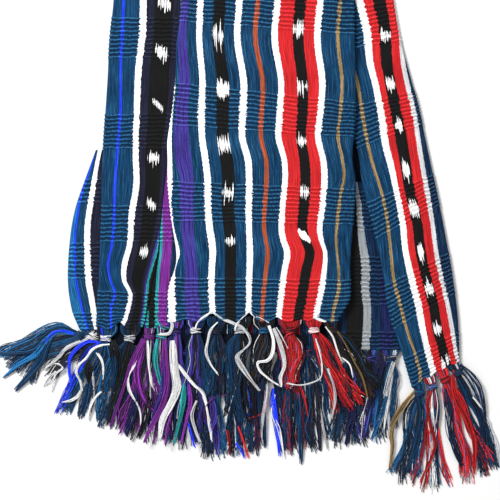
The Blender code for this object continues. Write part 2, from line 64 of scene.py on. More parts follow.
# Cloth
TURN_RADIUS = 2.5
FLAP_RADIUS = 2.3
TUCK = 8.0
ARC_STEPS = 10
TUCK_STEPS = 3
COLUMN_STEP = 1.8
FEWEST_COLUMNS = 6
RIB_PITCH = 4.2
RIB_RISE = 0.7
RIB_WAVER = 0.32
# Waves of the ribs' waver: how fast each runs across the cloth and down it, and its share
RIB_WAVES = ((31, 0.07, 1.0), (73, -0.05, 0.6))
RIB_STEP = RIB_PITCH / 6
FAR_RIB_STEP = RIB_PITCH / 4
SMOOTH_STEP = 2.4
FAR_SMOOTH_STEP = 5.0
ZONE_PERIOD = 92.0
ZONE_FADE = 2.0
PUFF = 0.8
RIBBED_PUFF = 0.2
RELIEF_FADE = 0.3
CREASE_ENDS = 0.6
FOLD_STEPS = 8
# Rounded lip at a hem: how far back from it each row lies, and how far it drops
HEM_LIP = ((2.2, 1.6), (0.3, 1.5), (0.0, 0.85), (0.2, 0.25), (0.8, 0.0))

# Notches in the hems between the knots: place across, depth and half-width
Notch = namedtuple("Notch", "across depth half_width")
NOTCHES = {
    "front_panel": (Notch(186, 2.6, 6), Notch(212.5, 9, 6), Notch(229, 3.2, 6), Notch(249.5, 10, 6),
                    Notch(277, 5, 5), Notch(300, 3, 6), Notch(316, 5, 5)),
    "left_pleat": (Notch(99, 4, 5), Notch(120, 8, 6), Notch(141, 3, 5)),
    "right_flap": (Notch(424, 3.4, 5), Notch(436, 3.4, 5), Notch(447, 3, 5)),
}
NOTCH_RUN = 20.0

# The core's layered edges
LAYER = 1.3
LEFT_LAYER = 1.1
LAYER_NOTCH = 0.9
LIP_STEPS = 6
LIP_TURN = 75
LAYER_SHARP_ANGLE = 50
CORE_ROW_STEP = 12.0
CORE_TURNS = (108, 150, 310, 323, 332)
# Steps of the core's top, in from the stretches' edges: up a wall by the left shelf, down to the channel, up
# under the front panel, down to the gap and up under the right flap
SHELF_WALL = 12
SHELF_HEIGHT = 3.4
SHELF_SLOPE = 0.8
PLEAT_FROM = 4
PLEAT_TO = 9
CHANNEL_FROM = 3
CHANNEL_TO = 12
PANEL_FROM = 20
PANEL_TO = 27
PANEL_FOOT = 19
GAP_FROM = 14
GAP_TO = 12
FLAP_FROM = 22
FLAP_TO = 13

# Yarn
YARN_RADIUS = 0.38
YARN_POINTS = 21
YARNS_IN_HANK = 14
YARN_SIDES = 4
HANK_TURN = 3.5
HANK_BEND = 7.0
YARN_STRAYS = 0.8
STRAY_ENDS = 0.16
KNOT_AT = 8.0
NECK_AT = 13.0
KNOT_HALF_WIDTH = 5.0
KNOT_HALF_HEIGHT = 2.4
WRAPS = 13
WRAP_SPREAD = 2.8
# How far the yarns run back over the cloth behind the hem. Under the front hem's tassels, the back end's
# yarns run further, over the core's end.
HEM_RUN = 6.0
BACK_RUN = 21.0
BACK_RUN_HEIGHT = 5.6
PILE_DOWN = (330, 360, 400, 440)
PILE_HEIGHT = (10.5, 9.5, 6.5, 2.2)
# A wandering hank lies over the rest of its tassel and climbs to the front hem. Elsewhere its tip comes down
# to the floor.
LOW_LIE = 4.0
OVER_LIE = 2.4
CLIMB_DOWN = (309, 322, 332, 342, 356)
CLIMB_HEIGHT = (13.8, 13.2, 12.4, 10.8, 9.4)
OVER_HANKS = 2.6
OVER_PILE = 2.0
STRAY_TIP = 1.4
STRAY_TUCK = 2.0
UNDER_THE_FRONT = ("back_1", "back_2", "back_3", "back_4", "back_5", "back_6")
# Shares of the half-width that the yarns take up at the hem, in the knot and in the neck
HEM_SHARE = 0.94
KNOT_SHARE = 0.85
NECK_SHARE = 0.95
HEM_OUT = 1.2
HEM_DROP = 0.3
NECK_DROP = 0.4
# How far the yarns spread up and down from a tassel's middle
BACK_THICKNESS = 0.5
HEM_THICKNESS = 0.6
KNOT_THICKNESS = 1.7
KNOT_ROUND = 0.8
NECK_THICKNESS = 1.3
# Loose yarns below the neck: where their width is set, how they sway, and how they come down to their lie
LOOSE_STEPS = 7
BELLY_PLACES = (0, 0.12, 0.38, 0.72, 1.0)
SWAY_RATES = (0.8, 1.4)
SWAYS = (1.0, 2.6)
SWAY_END = 0.8
SPLAY = 2.0
SETTLE_RATE = 1.5
SETTLE_CURVE = 0.7
UNDER_LIE = 1.4
LEVEL_STEP = 1.4
YARN_LIFT = 0.9
HUMP = 0.6
FLOOR_GAP = 0.2
HANK_LENGTHS = (0.84, 0.97)
YARN_LENGTHS = (0.9, 1.04)
HANK_TWIST = 2.2
STRAY_WANDER = 0.4
# Yarns wound over a knot: how far round it they run, in half turns, and how they wander
WRAP_TURNS = (-0.25, 1.6)
WRAP_POINTS = 9
WRAP_WANDER = 0.4
WRAP_SLANT = 1.6
WRAP_ROUND = 4.4
WRAP_LIFT = 0.6
WRAP_OUT = 0.5
WRAP_OVER = 0.3
FIRST_SEED = 11

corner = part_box("front_panel")[0]
FIELD_X = corner.x - HEM_CORNER_ACROSS * MM
FIELD_Y = corner.y + FRONT_HEM * MM

# Edges of the stretches, for each place down the lie
Edges = namedtuple("Edges", "down b_left b_right c_left c_right d_left d_right")
EDGES = (
    Edges(-560, 138, 197, 190, 304, 292, 332),
    Edges(-522, 137, 197, 189, 306, 294, 335),
    Edges(-420, 131, 195, 187, 318, 306, 345),
    Edges(-330, 130, 194, 186, 324, 312, 357),
    Edges(-240, 123, 192, 184, 335, 323, 366),
    Edges(-150, 122, 193, 185, 341, 329, 380),
    Edges(-75, 116, 190, 183, 349, 337, 384),
    Edges(0, 114, 189, 182, 353, 341, 393),
    Edges(40, 110, 186, 178, 354, 342, 400),
    Edges(80, 108, 183, 176, 355, 343, 410),
    Edges(110, 106, 179, 173, 355, 344, 418),
    Edges(140, 104, 173, 168, 353, 354, 424),
    Edges(160, 103, 168, 168, 352, 359, 428),
    Edges(180, 102, 165, 168, 355, 361, 432),
    Edges(220, 102, 161, 172, 353, 371, 440),
    Edges(260, 100, 157, 177, 350, 380, 447),
    Edges(285, 99, 152, 170, 350, 384, 451),
    Edges(300, 98, 150, 168, 349, 386, 453),
    Edges(322, 97, 145, 167, 337, 391, 456),
    Edges(345, 96, 141, 166, 332, 399, 458),
    Edges(388, 96, 138, 166, 330, 412, 459),
)

# Left edge of the back end's cloth, where it looks out from under the left pleat
BackEdge = namedtuple("BackEdge", "down a_left")
BACK_EDGE = (
    BackEdge(150, 96),
    BackEdge(180, 85),
    BackEdge(210, 75),
    BackEdge(240, 70),
    BackEdge(280, 68),
    BackEdge(310, 72),
    BackEdge(330, 80),
)

# Heights of the stretches' edges above the table, and of the core's parts
Heights = namedtuple("Heights", "down b_left c_right d_left d_crown core_left core_mid shelf")
HEIGHTS = (
    Heights(-560, 9.4, 13.4, 6.8, 1.4, 6.2, 10.2, 2.0),
    Heights(110, 9.4, 13.4, 6.8, 1.4, 6.2, 10.2, 2.0),
    Heights(148, 9.4, 13.4, 6.8, 1.8, 6.2, 10.2, 9.2),
    Heights(178, 9.4, 12.8, 10.2, 2.4, 6.2, 10.2, 9.2),
    Heights(310, 9.4, 12.6, 10.2, 2.4, 6.2, 10.2, 9.2),
    Heights(323, 9.2, 12.4, 10.2, 2.2, 5.8, 4.6, 9.2),
    Heights(332, 9.0, 12.4, 10.2, 2.0, 3.4, 4.4, 9.2),
    Heights(352, 9.0, 12.4, 10.2, 1.6, 3.4, 4.4, 9.2),
    Heights(388, 9.0, 12.4, 6.2, 1.0, 3.4, 4.4, 9.2),
)
PLEAT_CROWN = 1.5
CHANNEL_SAG = 0.5
GAP_SAG = 0.2
BACK_LEFT_HEIGHT = 2.4
BACK_LEFT_CROWN = 0.9
BACK_LEFT_DROP = 0.4
BACK_LEFT_ROUND = 0.7
BACK_LEFT_EDGE = 0.12
SLANT_FROM = -40
SLANT_CURVE = 1.6
B_RIGHT_HEIGHT = 6.2
C_LEFT_HEIGHT = 12.6
CHANNEL_HEIGHT = 6.0
GAP_HEIGHT = 4.6
CORE_CHANNEL = 3.2
CORE_LOW = 1.9
CORE_RIGHT = 3.6

# Soft lengthwise swells of the front panel: place across it, from 0 to 1, height, half-width, and where each
# begins and ends down the lie
Swell = namedtuple("Swell", "across height half_width first last")
SWELL_FADE = 60
SWELLS = (
    Swell(0.16, 0.9, 0.15, -420, 130),
    Swell(0.30, -0.7, 0.16, -60, 300),
    Swell(0.52, 1.0, 0.18, -300, 322),
    Swell(0.72, -0.6, 0.15, -522, 180),
    Swell(0.86, 0.9, 0.16, -90, 310),
)

# Zones of weft ribs: where each begins and ends at a stretch's left and right edge. Above the first one they
# go on at a steady period.
Zone = namedtuple("Zone", "left_first left_last right_first right_last")
PANEL_ZONES = (Zone(-18, 24, -5, 37), Zone(82, 127, 102, 139), Zone(180, 222, 188, 226),
               Zone(276, 322, 278, 322))
PLEAT_ZONES = (Zone(17, 60, 17, 60), Zone(114, 150, 112, 150), Zone(204, 243, 204, 243),
               Zone(289, 330, 291, 330))
FLAP_ZONES = (Zone(8, 52, 0, 44), Zone(107, 150, 94, 132), Zone(201, 240, 182, 218), Zone(284, 330, 266, 314),
              Zone(357, 388, 352, 388))
BACK_LEFT_ZONES = (Zone(177, 204, 177, 204), Zone(241, 280, 241, 280), Zone(311, 330, 311, 330))
GAP_ZONES = (Zone(190, 232, 190, 232), Zone(255, 306, 255, 306), Zone(330, 350, 330, 350))

# Creases, listed one by one: from and to, height above the cloth (troughs are below nought) and half-width
Crease = namedtuple("Crease", "stretch across down to_across to_down height half_width")
CREASES = (
    Crease("front_panel", 176, 52, 262, 74, 0.9, 7),
    Crease("front_panel", 258, 78, 350, 66, 0.8, 8),
    Crease("front_panel", 190, 146, 300, 160, 1.0, 8),
    Crease("front_panel", 232, 136, 346, 142, -0.7, 7),
    Crease("front_panel", 182, 240, 268, 256, 1.0, 8),
    Crease("front_panel", 262, 246, 345, 240, 0.9, 9),
    Crease("front_panel", 200, 228, 330, 232, -0.5, 6),
    Crease("front_panel", 186, -70, 300, -46, 0.9, 9),
    Crease("front_panel", 240, -150, 336, -168, 0.8, 10),
    Crease("front_panel", 196, -262, 290, -240, 0.9, 10),
    Crease("front_panel", 215, -352, 316, -338, -0.7, 9),
    Crease("front_panel", 200, -440, 300, -462, 0.8, 10),
    Crease("left_pleat", 104, 256, 150, 276, 1.0, 7),
    Crease("left_pleat", 104, 284, 140, 292, -0.7, 6),
    Crease("left_pleat", 108, 84, 170, 92, 0.7, 8),
    Crease("left_pleat", 106, 176, 158, 190, 0.8, 8),
    Crease("left_pleat", 124, -120, 176, -96, 0.8, 9),
    Crease("left_pleat", 134, -330, 180, -350, 0.8, 9),
    Crease("right_flap", 362, 66, 402, 78, 0.7, 8),
    Crease("right_flap", 372, 176, 428, 160, 0.9, 8),
    Crease("right_flap", 384, 268, 444, 248, 1.0, 9),
    Crease("right_flap", 398, 344, 450, 322, 0.9, 8),
    Crease("right_flap", 350, -60, 384, -78, 0.7, 9),
    Crease("right_flap", 330, -270, 362, -250, 0.7, 9),
    Crease("back_end_gap", 356, 240, 378, 262, 0.6, 7),
)

# Where the stripes swing as the cloth draws in and lets out: the place across the lie of some stripes, for
# each place down it. The row named cloth gives the same stripes' places in the flat weave.
PanelLine = namedtuple(
    "PanelLine", "down left_teal purple_from purple_to first black second orange third red fourth tan",
)
PANEL_CLOTH = PanelLine(None, 167.3, 170.5, 186.2, 200, 220, 239.5, 257.5, 277, 300, 320, 339.5)
PANEL_LINES = (
    PanelLine(0, 182.9, 183.4, 188.4, 200.5, 220, 239.5, 257.5, 277, 300, 320, 339.5),
    PanelLine(40, 174.1, 178.6, 186.4, 199.5, 217.5, 237.3, 255, 273.8, 297.5, 316.5, 336.8),
    PanelLine(83, 176.2, 179.3, 189.8, 202.5, 222.5, 243.5, 262.5, 280.3, 301.5, 321.5, 341),
    PanelLine(110, 174.8, 175.6, 187.8, 201.5, 222.3, 243, 261.5, 279, 302.2, 319.8, 339.5),
    PanelLine(138, 173.2, 173.8, 188.9, 202, 223, 242, 260.7, 277.5, 301, 317, 337),
    PanelLine(160, 173.8, 175, 191, 205.3, 226, 248, 265.6, 283.4, 303.2, 322.4, 341.2),
    PanelLine(178, 173.8, 180, 193.4, 207.5, 228, 249.2, 266, 284.6, 304.3, 323.8, 343),
    PanelLine(192, 173.5, 180.3, 193, 208, 228, 249.3, 265.4, 283.2, 304, 323, 339.8),
    PanelLine(206, 173, 180.7, 193, 208.3, 227, 249, 264.3, 282, 303, 322, 337.8),
    PanelLine(228, 175.6, 181.6, 193, 210, 229, 249.2, 263.6, 280.5, 301.6, 319, 335.6),
    PanelLine(240, 178.6, 182.3, 193.8, 212.2, 230, 249.5, 265.4, 282.2, 305.4, 320.6, 335),
    PanelLine(253, 181.2, 183.8, 195.4, 213.4, 230.2, 249.8, 267.3, 286.4, 309.8, 324.8, 336),
    PanelLine(270, 176.8, 185.3, 197, 212, 230, 249.5, 265.6, 283.7, 305.4, 324, 337.4),
    PanelLine(290, 176.2, 184.8, 197.4, 211.8, 230, 249, 263.2, 280.9, 302, 320.8, 337.4),
    PanelLine(308, 176.8, 185.8, 199.6, 212.4, 230, 249, 261.9, 279, 298.8, 317, 333),
    PanelLine(322, 176.6, 187.4, 201, 213, 230, 249, 261, 278, 297, 315, 330.6),
)
PleatLine = namedtuple("PleatLine", "down blue white black right")
PLEAT_CLOTH = PleatLine(None, 124, 143.5, 165, 184)
PLEAT_LINES = (
    PleatLine(0, 124, 143.5, 165, 184),
    PleatLine(34, 122.5, 142.9, 163.5, 182),
    PleatLine(70, 121, 138.5, 160.5, 180),
    PleatLine(112, 121, 136.7, 158.5, 176.5),
    PleatLine(155, 117.4, 136.2, 153.7, 170),
    PleatLine(184, 115.4, 137.3, 153, 168.5),
    PleatLine(214, 114.5, 132, 152, 164),
    PleatLine(243, 112.5, 130.5, 147, 157),
    PleatLine(264, 108.6, 125, 143.5, 151),
    PleatLine(280, 111, 124.5, 139.5, 146.5),
    PleatLine(293, 115.2, 131, 140.2, 145),
    PleatLine(306, 111.5, 130, 139, 143.5),
    PleatLine(330, 112, 122.5, 134.5, 139.5),
)
FlapLine = namedtuple("FlapLine", "down tan white black second")
FLAP_CLOTH = FlapLine(None, 384, 400, 416, 432)
FLAP_LINES = (
    FlapLine(0, 341, 357.8, 380, 396),
    FlapLine(31, 347, 365.8, 385.5, 400),
    FlapLine(64, 352, 369.5, 386.5, 403),
    FlapLine(84, 357, 374.8, 389.5, 407),
    FlapLine(115, 362, 381, 395.5, 414),
    FlapLine(143, 367, 384.5, 401.5, 418.5),
    FlapLine(168, 373, 390.8, 404.8, 422.3),
    FlapLine(193, 381, 396, 408.5, 427),
    FlapLine(223, 387, 401.5, 416.5, 431.8),
    FlapLine(250, 390, 404.3, 419.5, 435.2),
    FlapLine(280, 393, 411, 426.5, 441),
    FlapLine(305, 399.5, 417.5, 433, 447),
    FlapLine(328, 405.5, 421.5, 436.5, 451.3),
    FlapLine(352, 414, 426.5, 444, 455),
    FlapLine(372, 420, 432, 448, 460),
)
BackLeftLine = namedtuple("BackLeftLine", "down blue white")
BACK_LEFT_CLOTH = BackLeftLine(None, 75, 88)
BACK_LEFT_LINES = (
    BackLeftLine(150, 95.5, 99),
    BackLeftLine(165, 92, 96),
    BackLeftLine(194, 82, 92),
    BackLeftLine(222, 76.5, 88),
    BackLeftLine(245, 74.8, 87.5),
    BackLeftLine(282, 76.5, 89),
    BackLeftLine(303, 81, 92.5),
    BackLeftLine(330, 88, 96.5),
)
GapLine = namedtuple("GapLine", "down white_from white_to purple")
GAP_CLOTH = GapLine(None, 362, 370, 386)
GAP_LINES = (
    GapLine(180, 355.4, 356.6, 371),
    GapLine(200, 356, 360, 375),
    GapLine(220, 356.8, 362.6, 379),
    GapLine(242, 358, 365.4, 382),
    GapLine(265, 361, 369.2, 385),
    GapLine(290, 360.8, 368.6, 385.5),
    GapLine(310, 363, 370.8, 386),
    GapLine(350, 361, 369, 386),
)
ChannelLine = namedtuple("ChannelLine", "down left right")
CHANNEL_CLOTH = ChannelLine(None, 150, 168)
CHANNEL_LINES = (
    ChannelLine(150, 155, 172),
    ChannelLine(200, 154, 170),
    ChannelLine(243, 155, 170),
    ChannelLine(274, 151, 168),
    ChannelLine(300, 149, 167),
    ChannelLine(330, 149, 167),
)

# Colours, as a screen shows them
SHADES = {
    "teal": (3, 54, 90),
    "deep_teal": (6, 34, 66),
    "light_teal": (20, 92, 142),
    "blue": (26, 58, 230),
    "indigo": (20, 26, 74),
    "white": (250, 250, 250),
    "grey": (214, 215, 218),
    # Painted shade: a white stripe seen in the shade of the gap
    "white_in_painted_shade": (146, 152, 156),
    # Painted shade: near-black for yarns, hanks and knots where shade falls among them, and for the folded
    # layers
    "shadow": (12, 14, 20),
    # Painted shade for the folded layers
    "layer_in_painted_shade": (9, 24, 40),
    "black": (17, 17, 17),
    "brown": (46, 31, 24),
    "plum": (27, 27, 48),
    "purple": (62, 48, 138),
    "magenta": (118, 40, 138),
    "turquoise": (34, 146, 146),
    "orange": (164, 74, 40),
    "red": (202, 34, 38),
    "dark_red": (132, 14, 28),
    "tan": (146, 120, 76),
}

# Warp stripes across the flat weave: where each begins, and its colour
PANEL_BANDS = (
    (0, "teal"), (158.9, "white"), (165.7, "teal"), (170.5, "purple"), (174.6, "indigo"), (175.6, "purple"),
    (181.0, "indigo"), (182.0, "purple"), (186.2, "teal"), (196.8, "white"), (203.3, "teal"),
    (214.0, "black"), (226.0, "teal"), (236.4, "white"), (242.7, "teal"), (255.2, "orange"), (259.8, "teal"),
    (273.8, "white"), (280.3, "red"), (294.2, "black"), (305.8, "red"), (316.9, "white"), (323.2, "teal"),
    (337.9, "tan"), (341.0, "teal"),
)
PLEAT_BANDS = (
    (0, "teal"), (122.7, "blue"), (125.3, "teal"), (140.2, "white"), (146.9, "plum"), (155.0, "black"),
    (174.0, "plum"), (182.5, "purple"), (185.0, "turquoise"), (187.4, "black"),
)
# Where the flap's right edge turns down, its second white stripe and the teal beyond are given grey and deep
# teal, painted shade
FLAP_BANDS = (
    (0, "teal"), (382.4, "tan"), (385.4, "teal"), (396.8, "white"), (403.2, "red"), (410.4, "black"),
    (421.2, "red"), (429.6, "grey"), (434.0, "deep_teal"),
)
BACK_LEFT_BANDS = ((0, "light_teal"), (73.9, "blue"), (76.2, "teal"), (84.9, "white"), (91.0, "plum"))
# The back end's stripes seen down the gap are painted in shade: its white, teal and purple are given darker
# colours
GAP_BANDS = (
    (0, "plum"), (340.0, "deep_teal"), (345.0, "black"), (362.0, "white_in_painted_shade"), (370.0, "deep_teal"),
    (380.5, "indigo"), (393.0, "deep_teal"),
)
CHANNEL_BANDS = (
    (0, "plum"), (143.0, "purple"), (147.6, "turquoise"), (149.8, "black"), (156.2, "turquoise"),
    (159.4, "magenta"), (170.0, "deep_teal"),
)

# Resist-dyed white marks in the black stripes: the stripe's middle in the flat weave, the mark's place down
# the cloth, its half-length and half-width, how far it leans for each millimetre across, and how ragged its
# ends are
Mark = namedtuple("Mark", "stripe down half_length half_width lean ragged")
PANEL_MARKS = (
    Mark(220, 36, 9.0, 5.2, 0.25, 12), Mark(220, 91, 7.5, 5.4, 0.1, 8), Mark(220, 145, 7.0, 6.0, 0, 9),
    Mark(220, 193, 5.0, 5.5, 0.2, 9), Mark(220, 241, 4.0, 4.6, 0, 5), Mark(300, 31, 7.0, 5.4, 0, 8),
    Mark(300, 88, 6.2, 5.6, -0.1, 9), Mark(300, 142, 4.2, 5.4, 0, 7), Mark(300, 192, 4.6, 5.6, 0.2, 7),
    Mark(300, 236, 5.2, 5.6, 0.6, 2),
)
PLEAT_MARKS = (
    Mark(165, 5, 6.0, 5.6, 0.2, 9), Mark(165, 53, 5.4, 5.8, 0.5, 6), Mark(165, 106, 3.0, 6.5, 0.9, 4),
    Mark(165, 158, 4.8, 5.8, 0.1, 7), Mark(165, 205, 3.8, 6.0, 0.6, 5), Mark(165, 252, 4.8, 5.6, 0, 6),
)
FLAP_MARKS = (
    Mark(416, 37, 6.0, 4.2, 0, 7), Mark(416, 87, 6.0, 3.8, 0.2, 7), Mark(416, 130, 5.2, 3.4, 0, 6),
    Mark(416, 176, 8.6, 3.2, 0, 8), Mark(416, 216, 8.6, 4.0, 0, 8), Mark(416, 261, 8.0, 2.8, 0, 6),
    Mark(416, 300, 7.0, 4.0, 0.2, 7), Mark(416, 343, 5.6, 4.2, 0, 7), Mark(416, 381, 7.0, 5.0, -0.6, 10),
)
# Marks above the table's follow at a steady period, a few millimetres longer or shorter in turn
MARK_PERIOD = 51.0
MARK_HALF_LENGTH = 4.5
MARK_HALF_WIDTH = 5.2
MARK_LEAN = 0.3
MARK_RAGGED = 7
MARK_ROUND = 2.5
MARK_REACH = 3.5
FAR_FROM_MARKS = 40.0

# Tassels: where the head meets the hem, how it runs, and its hanks of yarn from one side to the other
Tassel = namedtuple(
    "Tassel",
    "name slot across down half_width hem_angle hem_height knot_height lie heading bend length belly tip "
    "hanks",
)
TASSELS = (
    Tassel("front_1", "purple", 176, 322, 8.6, 0, 11.8, 8.4, 8.0, 268, -2, 98, 8, 9,
           "purple deep_teal purple magenta plum purple"),
    Tassel("front_2", "blue", 196, 322, 9.6, 0, 11.8, 8.4, 8.0, 270, 2, 100, 9, 11,
           "deep_teal purple indigo plum purple teal deep_teal"),
    Tassel("front_3", "white", 217, 322, 9.6, 0, 11.8, 8.4, 8.0, 269, -3, 66, 9, 8,
           "teal teal deep_teal teal plum"),
    Tassel("front_4", "teal", 240, 322, 11.6, 0, 11.8, 8.4, 8.0, 266, 4, 92, 15, 11,
           "teal teal deep_teal teal shadow black deep_teal black"),
    Tassel("front_5", "black", 264, 322, 11.2, 0, 11.8, 8.4, 8.0, 268, -4, 50, 9, 9,
           "shadow brown black brown shadow"),
    Tassel("front_6", "red", 290, 322, 12.2, 0, 11.8, 8.4, 8.0, 272, -4, 56, 12.5, 5,
           "dark_red red red red red red dark_red"),
    Tassel("front_7", "red", 312, 322, 9.4, 0, 11.8, 8.4, 8.0, 292, 10, 90, 9, 15,
           "deep_teal red red dark_red red red red"),
    Tassel("front_8", "black", 330, 322, 7.2, 0, 11.6, 8.4, 8.0, 302, 6, 74, 12, 12,
           "black brown black plum black black"),
    Tassel("left_1", "teal", 108, 330, 10.6, 0, 8.0, 7.2, 2.1, 244, 6, 84, 16, 22,
           "deep_teal blue teal light_teal teal deep_teal teal light_teal"),
    Tassel("left_2", "black", 131, 330, 10.6, 0, 7.2, 7.2, 2.1, 258, -4, 92, 13, 14,
           "teal deep_teal teal black black plum deep_teal"),
    Tassel("channel_1", "white", 150, 328, 5.2, 0, 5.0, 7.0, 2.8, 264, -2, 104, 9, 13,
           "magenta magenta plum magenta deep_teal magenta"),
    Tassel("channel_2", "purple", 162, 328, 5.2, 0, 5.0, 7.0, 2.8, 268, 0, 104, 8, 12,
           "turquoise magenta black magenta magenta plum"),
    Tassel("back_left_1", "teal", 86, 330, 5.2, 0, 1.5, 3.2, 2.1, 180, 46, 82, 15, 22,
           "light_teal teal light_teal deep_teal teal light_teal teal teal"),
    Tassel("back_left_2", "white", 97.5, 330, 5.2, 0, 1.5, 3.2, 2.1, 212, 8, 60, 8, 9,
           "grey black deep_teal black plum"),
    Tassel("flap_1", "teal", 418.0, 384.7, 6.0, 29, 5.6, 4.6, 2.1, 262, 2, 88, 11, 13,
           "teal deep_teal teal light_teal deep_teal teal light_teal"),
    Tassel("flap_2", "white", 429.6, 378.3, 6.0, 29, 6.0, 4.6, 2.1, 272, -4, 104, 7, 11,
           "dark_red red white deep_teal red teal"),
    Tassel("flap_3", "red", 441.4, 371.8, 6.0, 29, 5.6, 4.6, 2.1, 290, -4, 104, 9, 11,
           "red red red red dark_red red"),
    Tassel("flap_4", "teal", 453.0, 365.4, 6.0, 29, 4.6, 4.4, 2.1, 304, -26, 104, 6, 7,
           "deep_teal teal black deep_teal grey teal"),
    Tassel("back_1", "blue", 182, 345, 11.6, 0, 2.4, 3.2, 2.1, 270, 4, 94, 11, 14,
           "deep_teal purple teal deep_teal purple light_teal"),
    Tassel("back_2", "teal", 207, 345, 11.6, 0, 2.4, 3.2, 2.1, 271, 0, 102, 12, 14,
           "teal deep_teal plum teal purple light_teal"),
    Tassel("back_3", "black", 232, 345, 11.6, 0, 2.4, 3.2, 2.1, 270, 0, 102, 12, 14,
           "teal deep_teal teal black deep_teal indigo"),
    Tassel("back_4", "teal", 257, 345, 11.6, 0, 2.4, 3.2, 2.1, 269, 0, 100, 12, 13,
           "deep_teal dark_red teal teal indigo deep_teal"),
    Tassel("back_5", "white", 282, 345, 11.6, 0, 2.4, 3.2, 2.1, 272, 2, 102, 12, 14,
           "indigo deep_teal teal dark_red teal deep_teal"),
    Tassel("back_6", "red", 307, 345, 11.6, 0, 2.4, 3.2, 2.1, 271, 2, 96, 12, 13,
           "dark_red teal deep_teal teal plum teal"),
    Tassel("gap_1", "blue", 350, 350, 9.6, 0, 3.8, 3.2, 2.1, 266, 2, 88, 14, 18,
           "teal teal plum deep_teal purple teal plum"),
    Tassel("gap_2", "teal", 371, 350, 9.6, 0, 3.8, 3.2, 2.1, 267, 0, 84, 12, 14,
           "deep_teal plum indigo purple light_teal teal"),
    Tassel("gap_3", "purple", 391, 350, 9.6, 0, 3.8, 3.2, 2.1, 262, -4, 70, 11, 12,
           "purple deep_teal light_teal grey teal"),
)

# Colour of the yarn wound round some knots; the others are wound with their second hank's
KNOT_COLOURS = {
    "front_2": "white", "front_3": "shadow", "front_4": "grey", "front_5": "light_teal", "front_6": "shadow",
    "front_7": "white", "left_1": "white", "left_2": "grey", "channel_1": "magenta", "channel_2": "turquoise",
    "back_left_2": "white", "flap_2": "light_teal", "flap_3": "dark_red", "gap_2": "indigo",
}
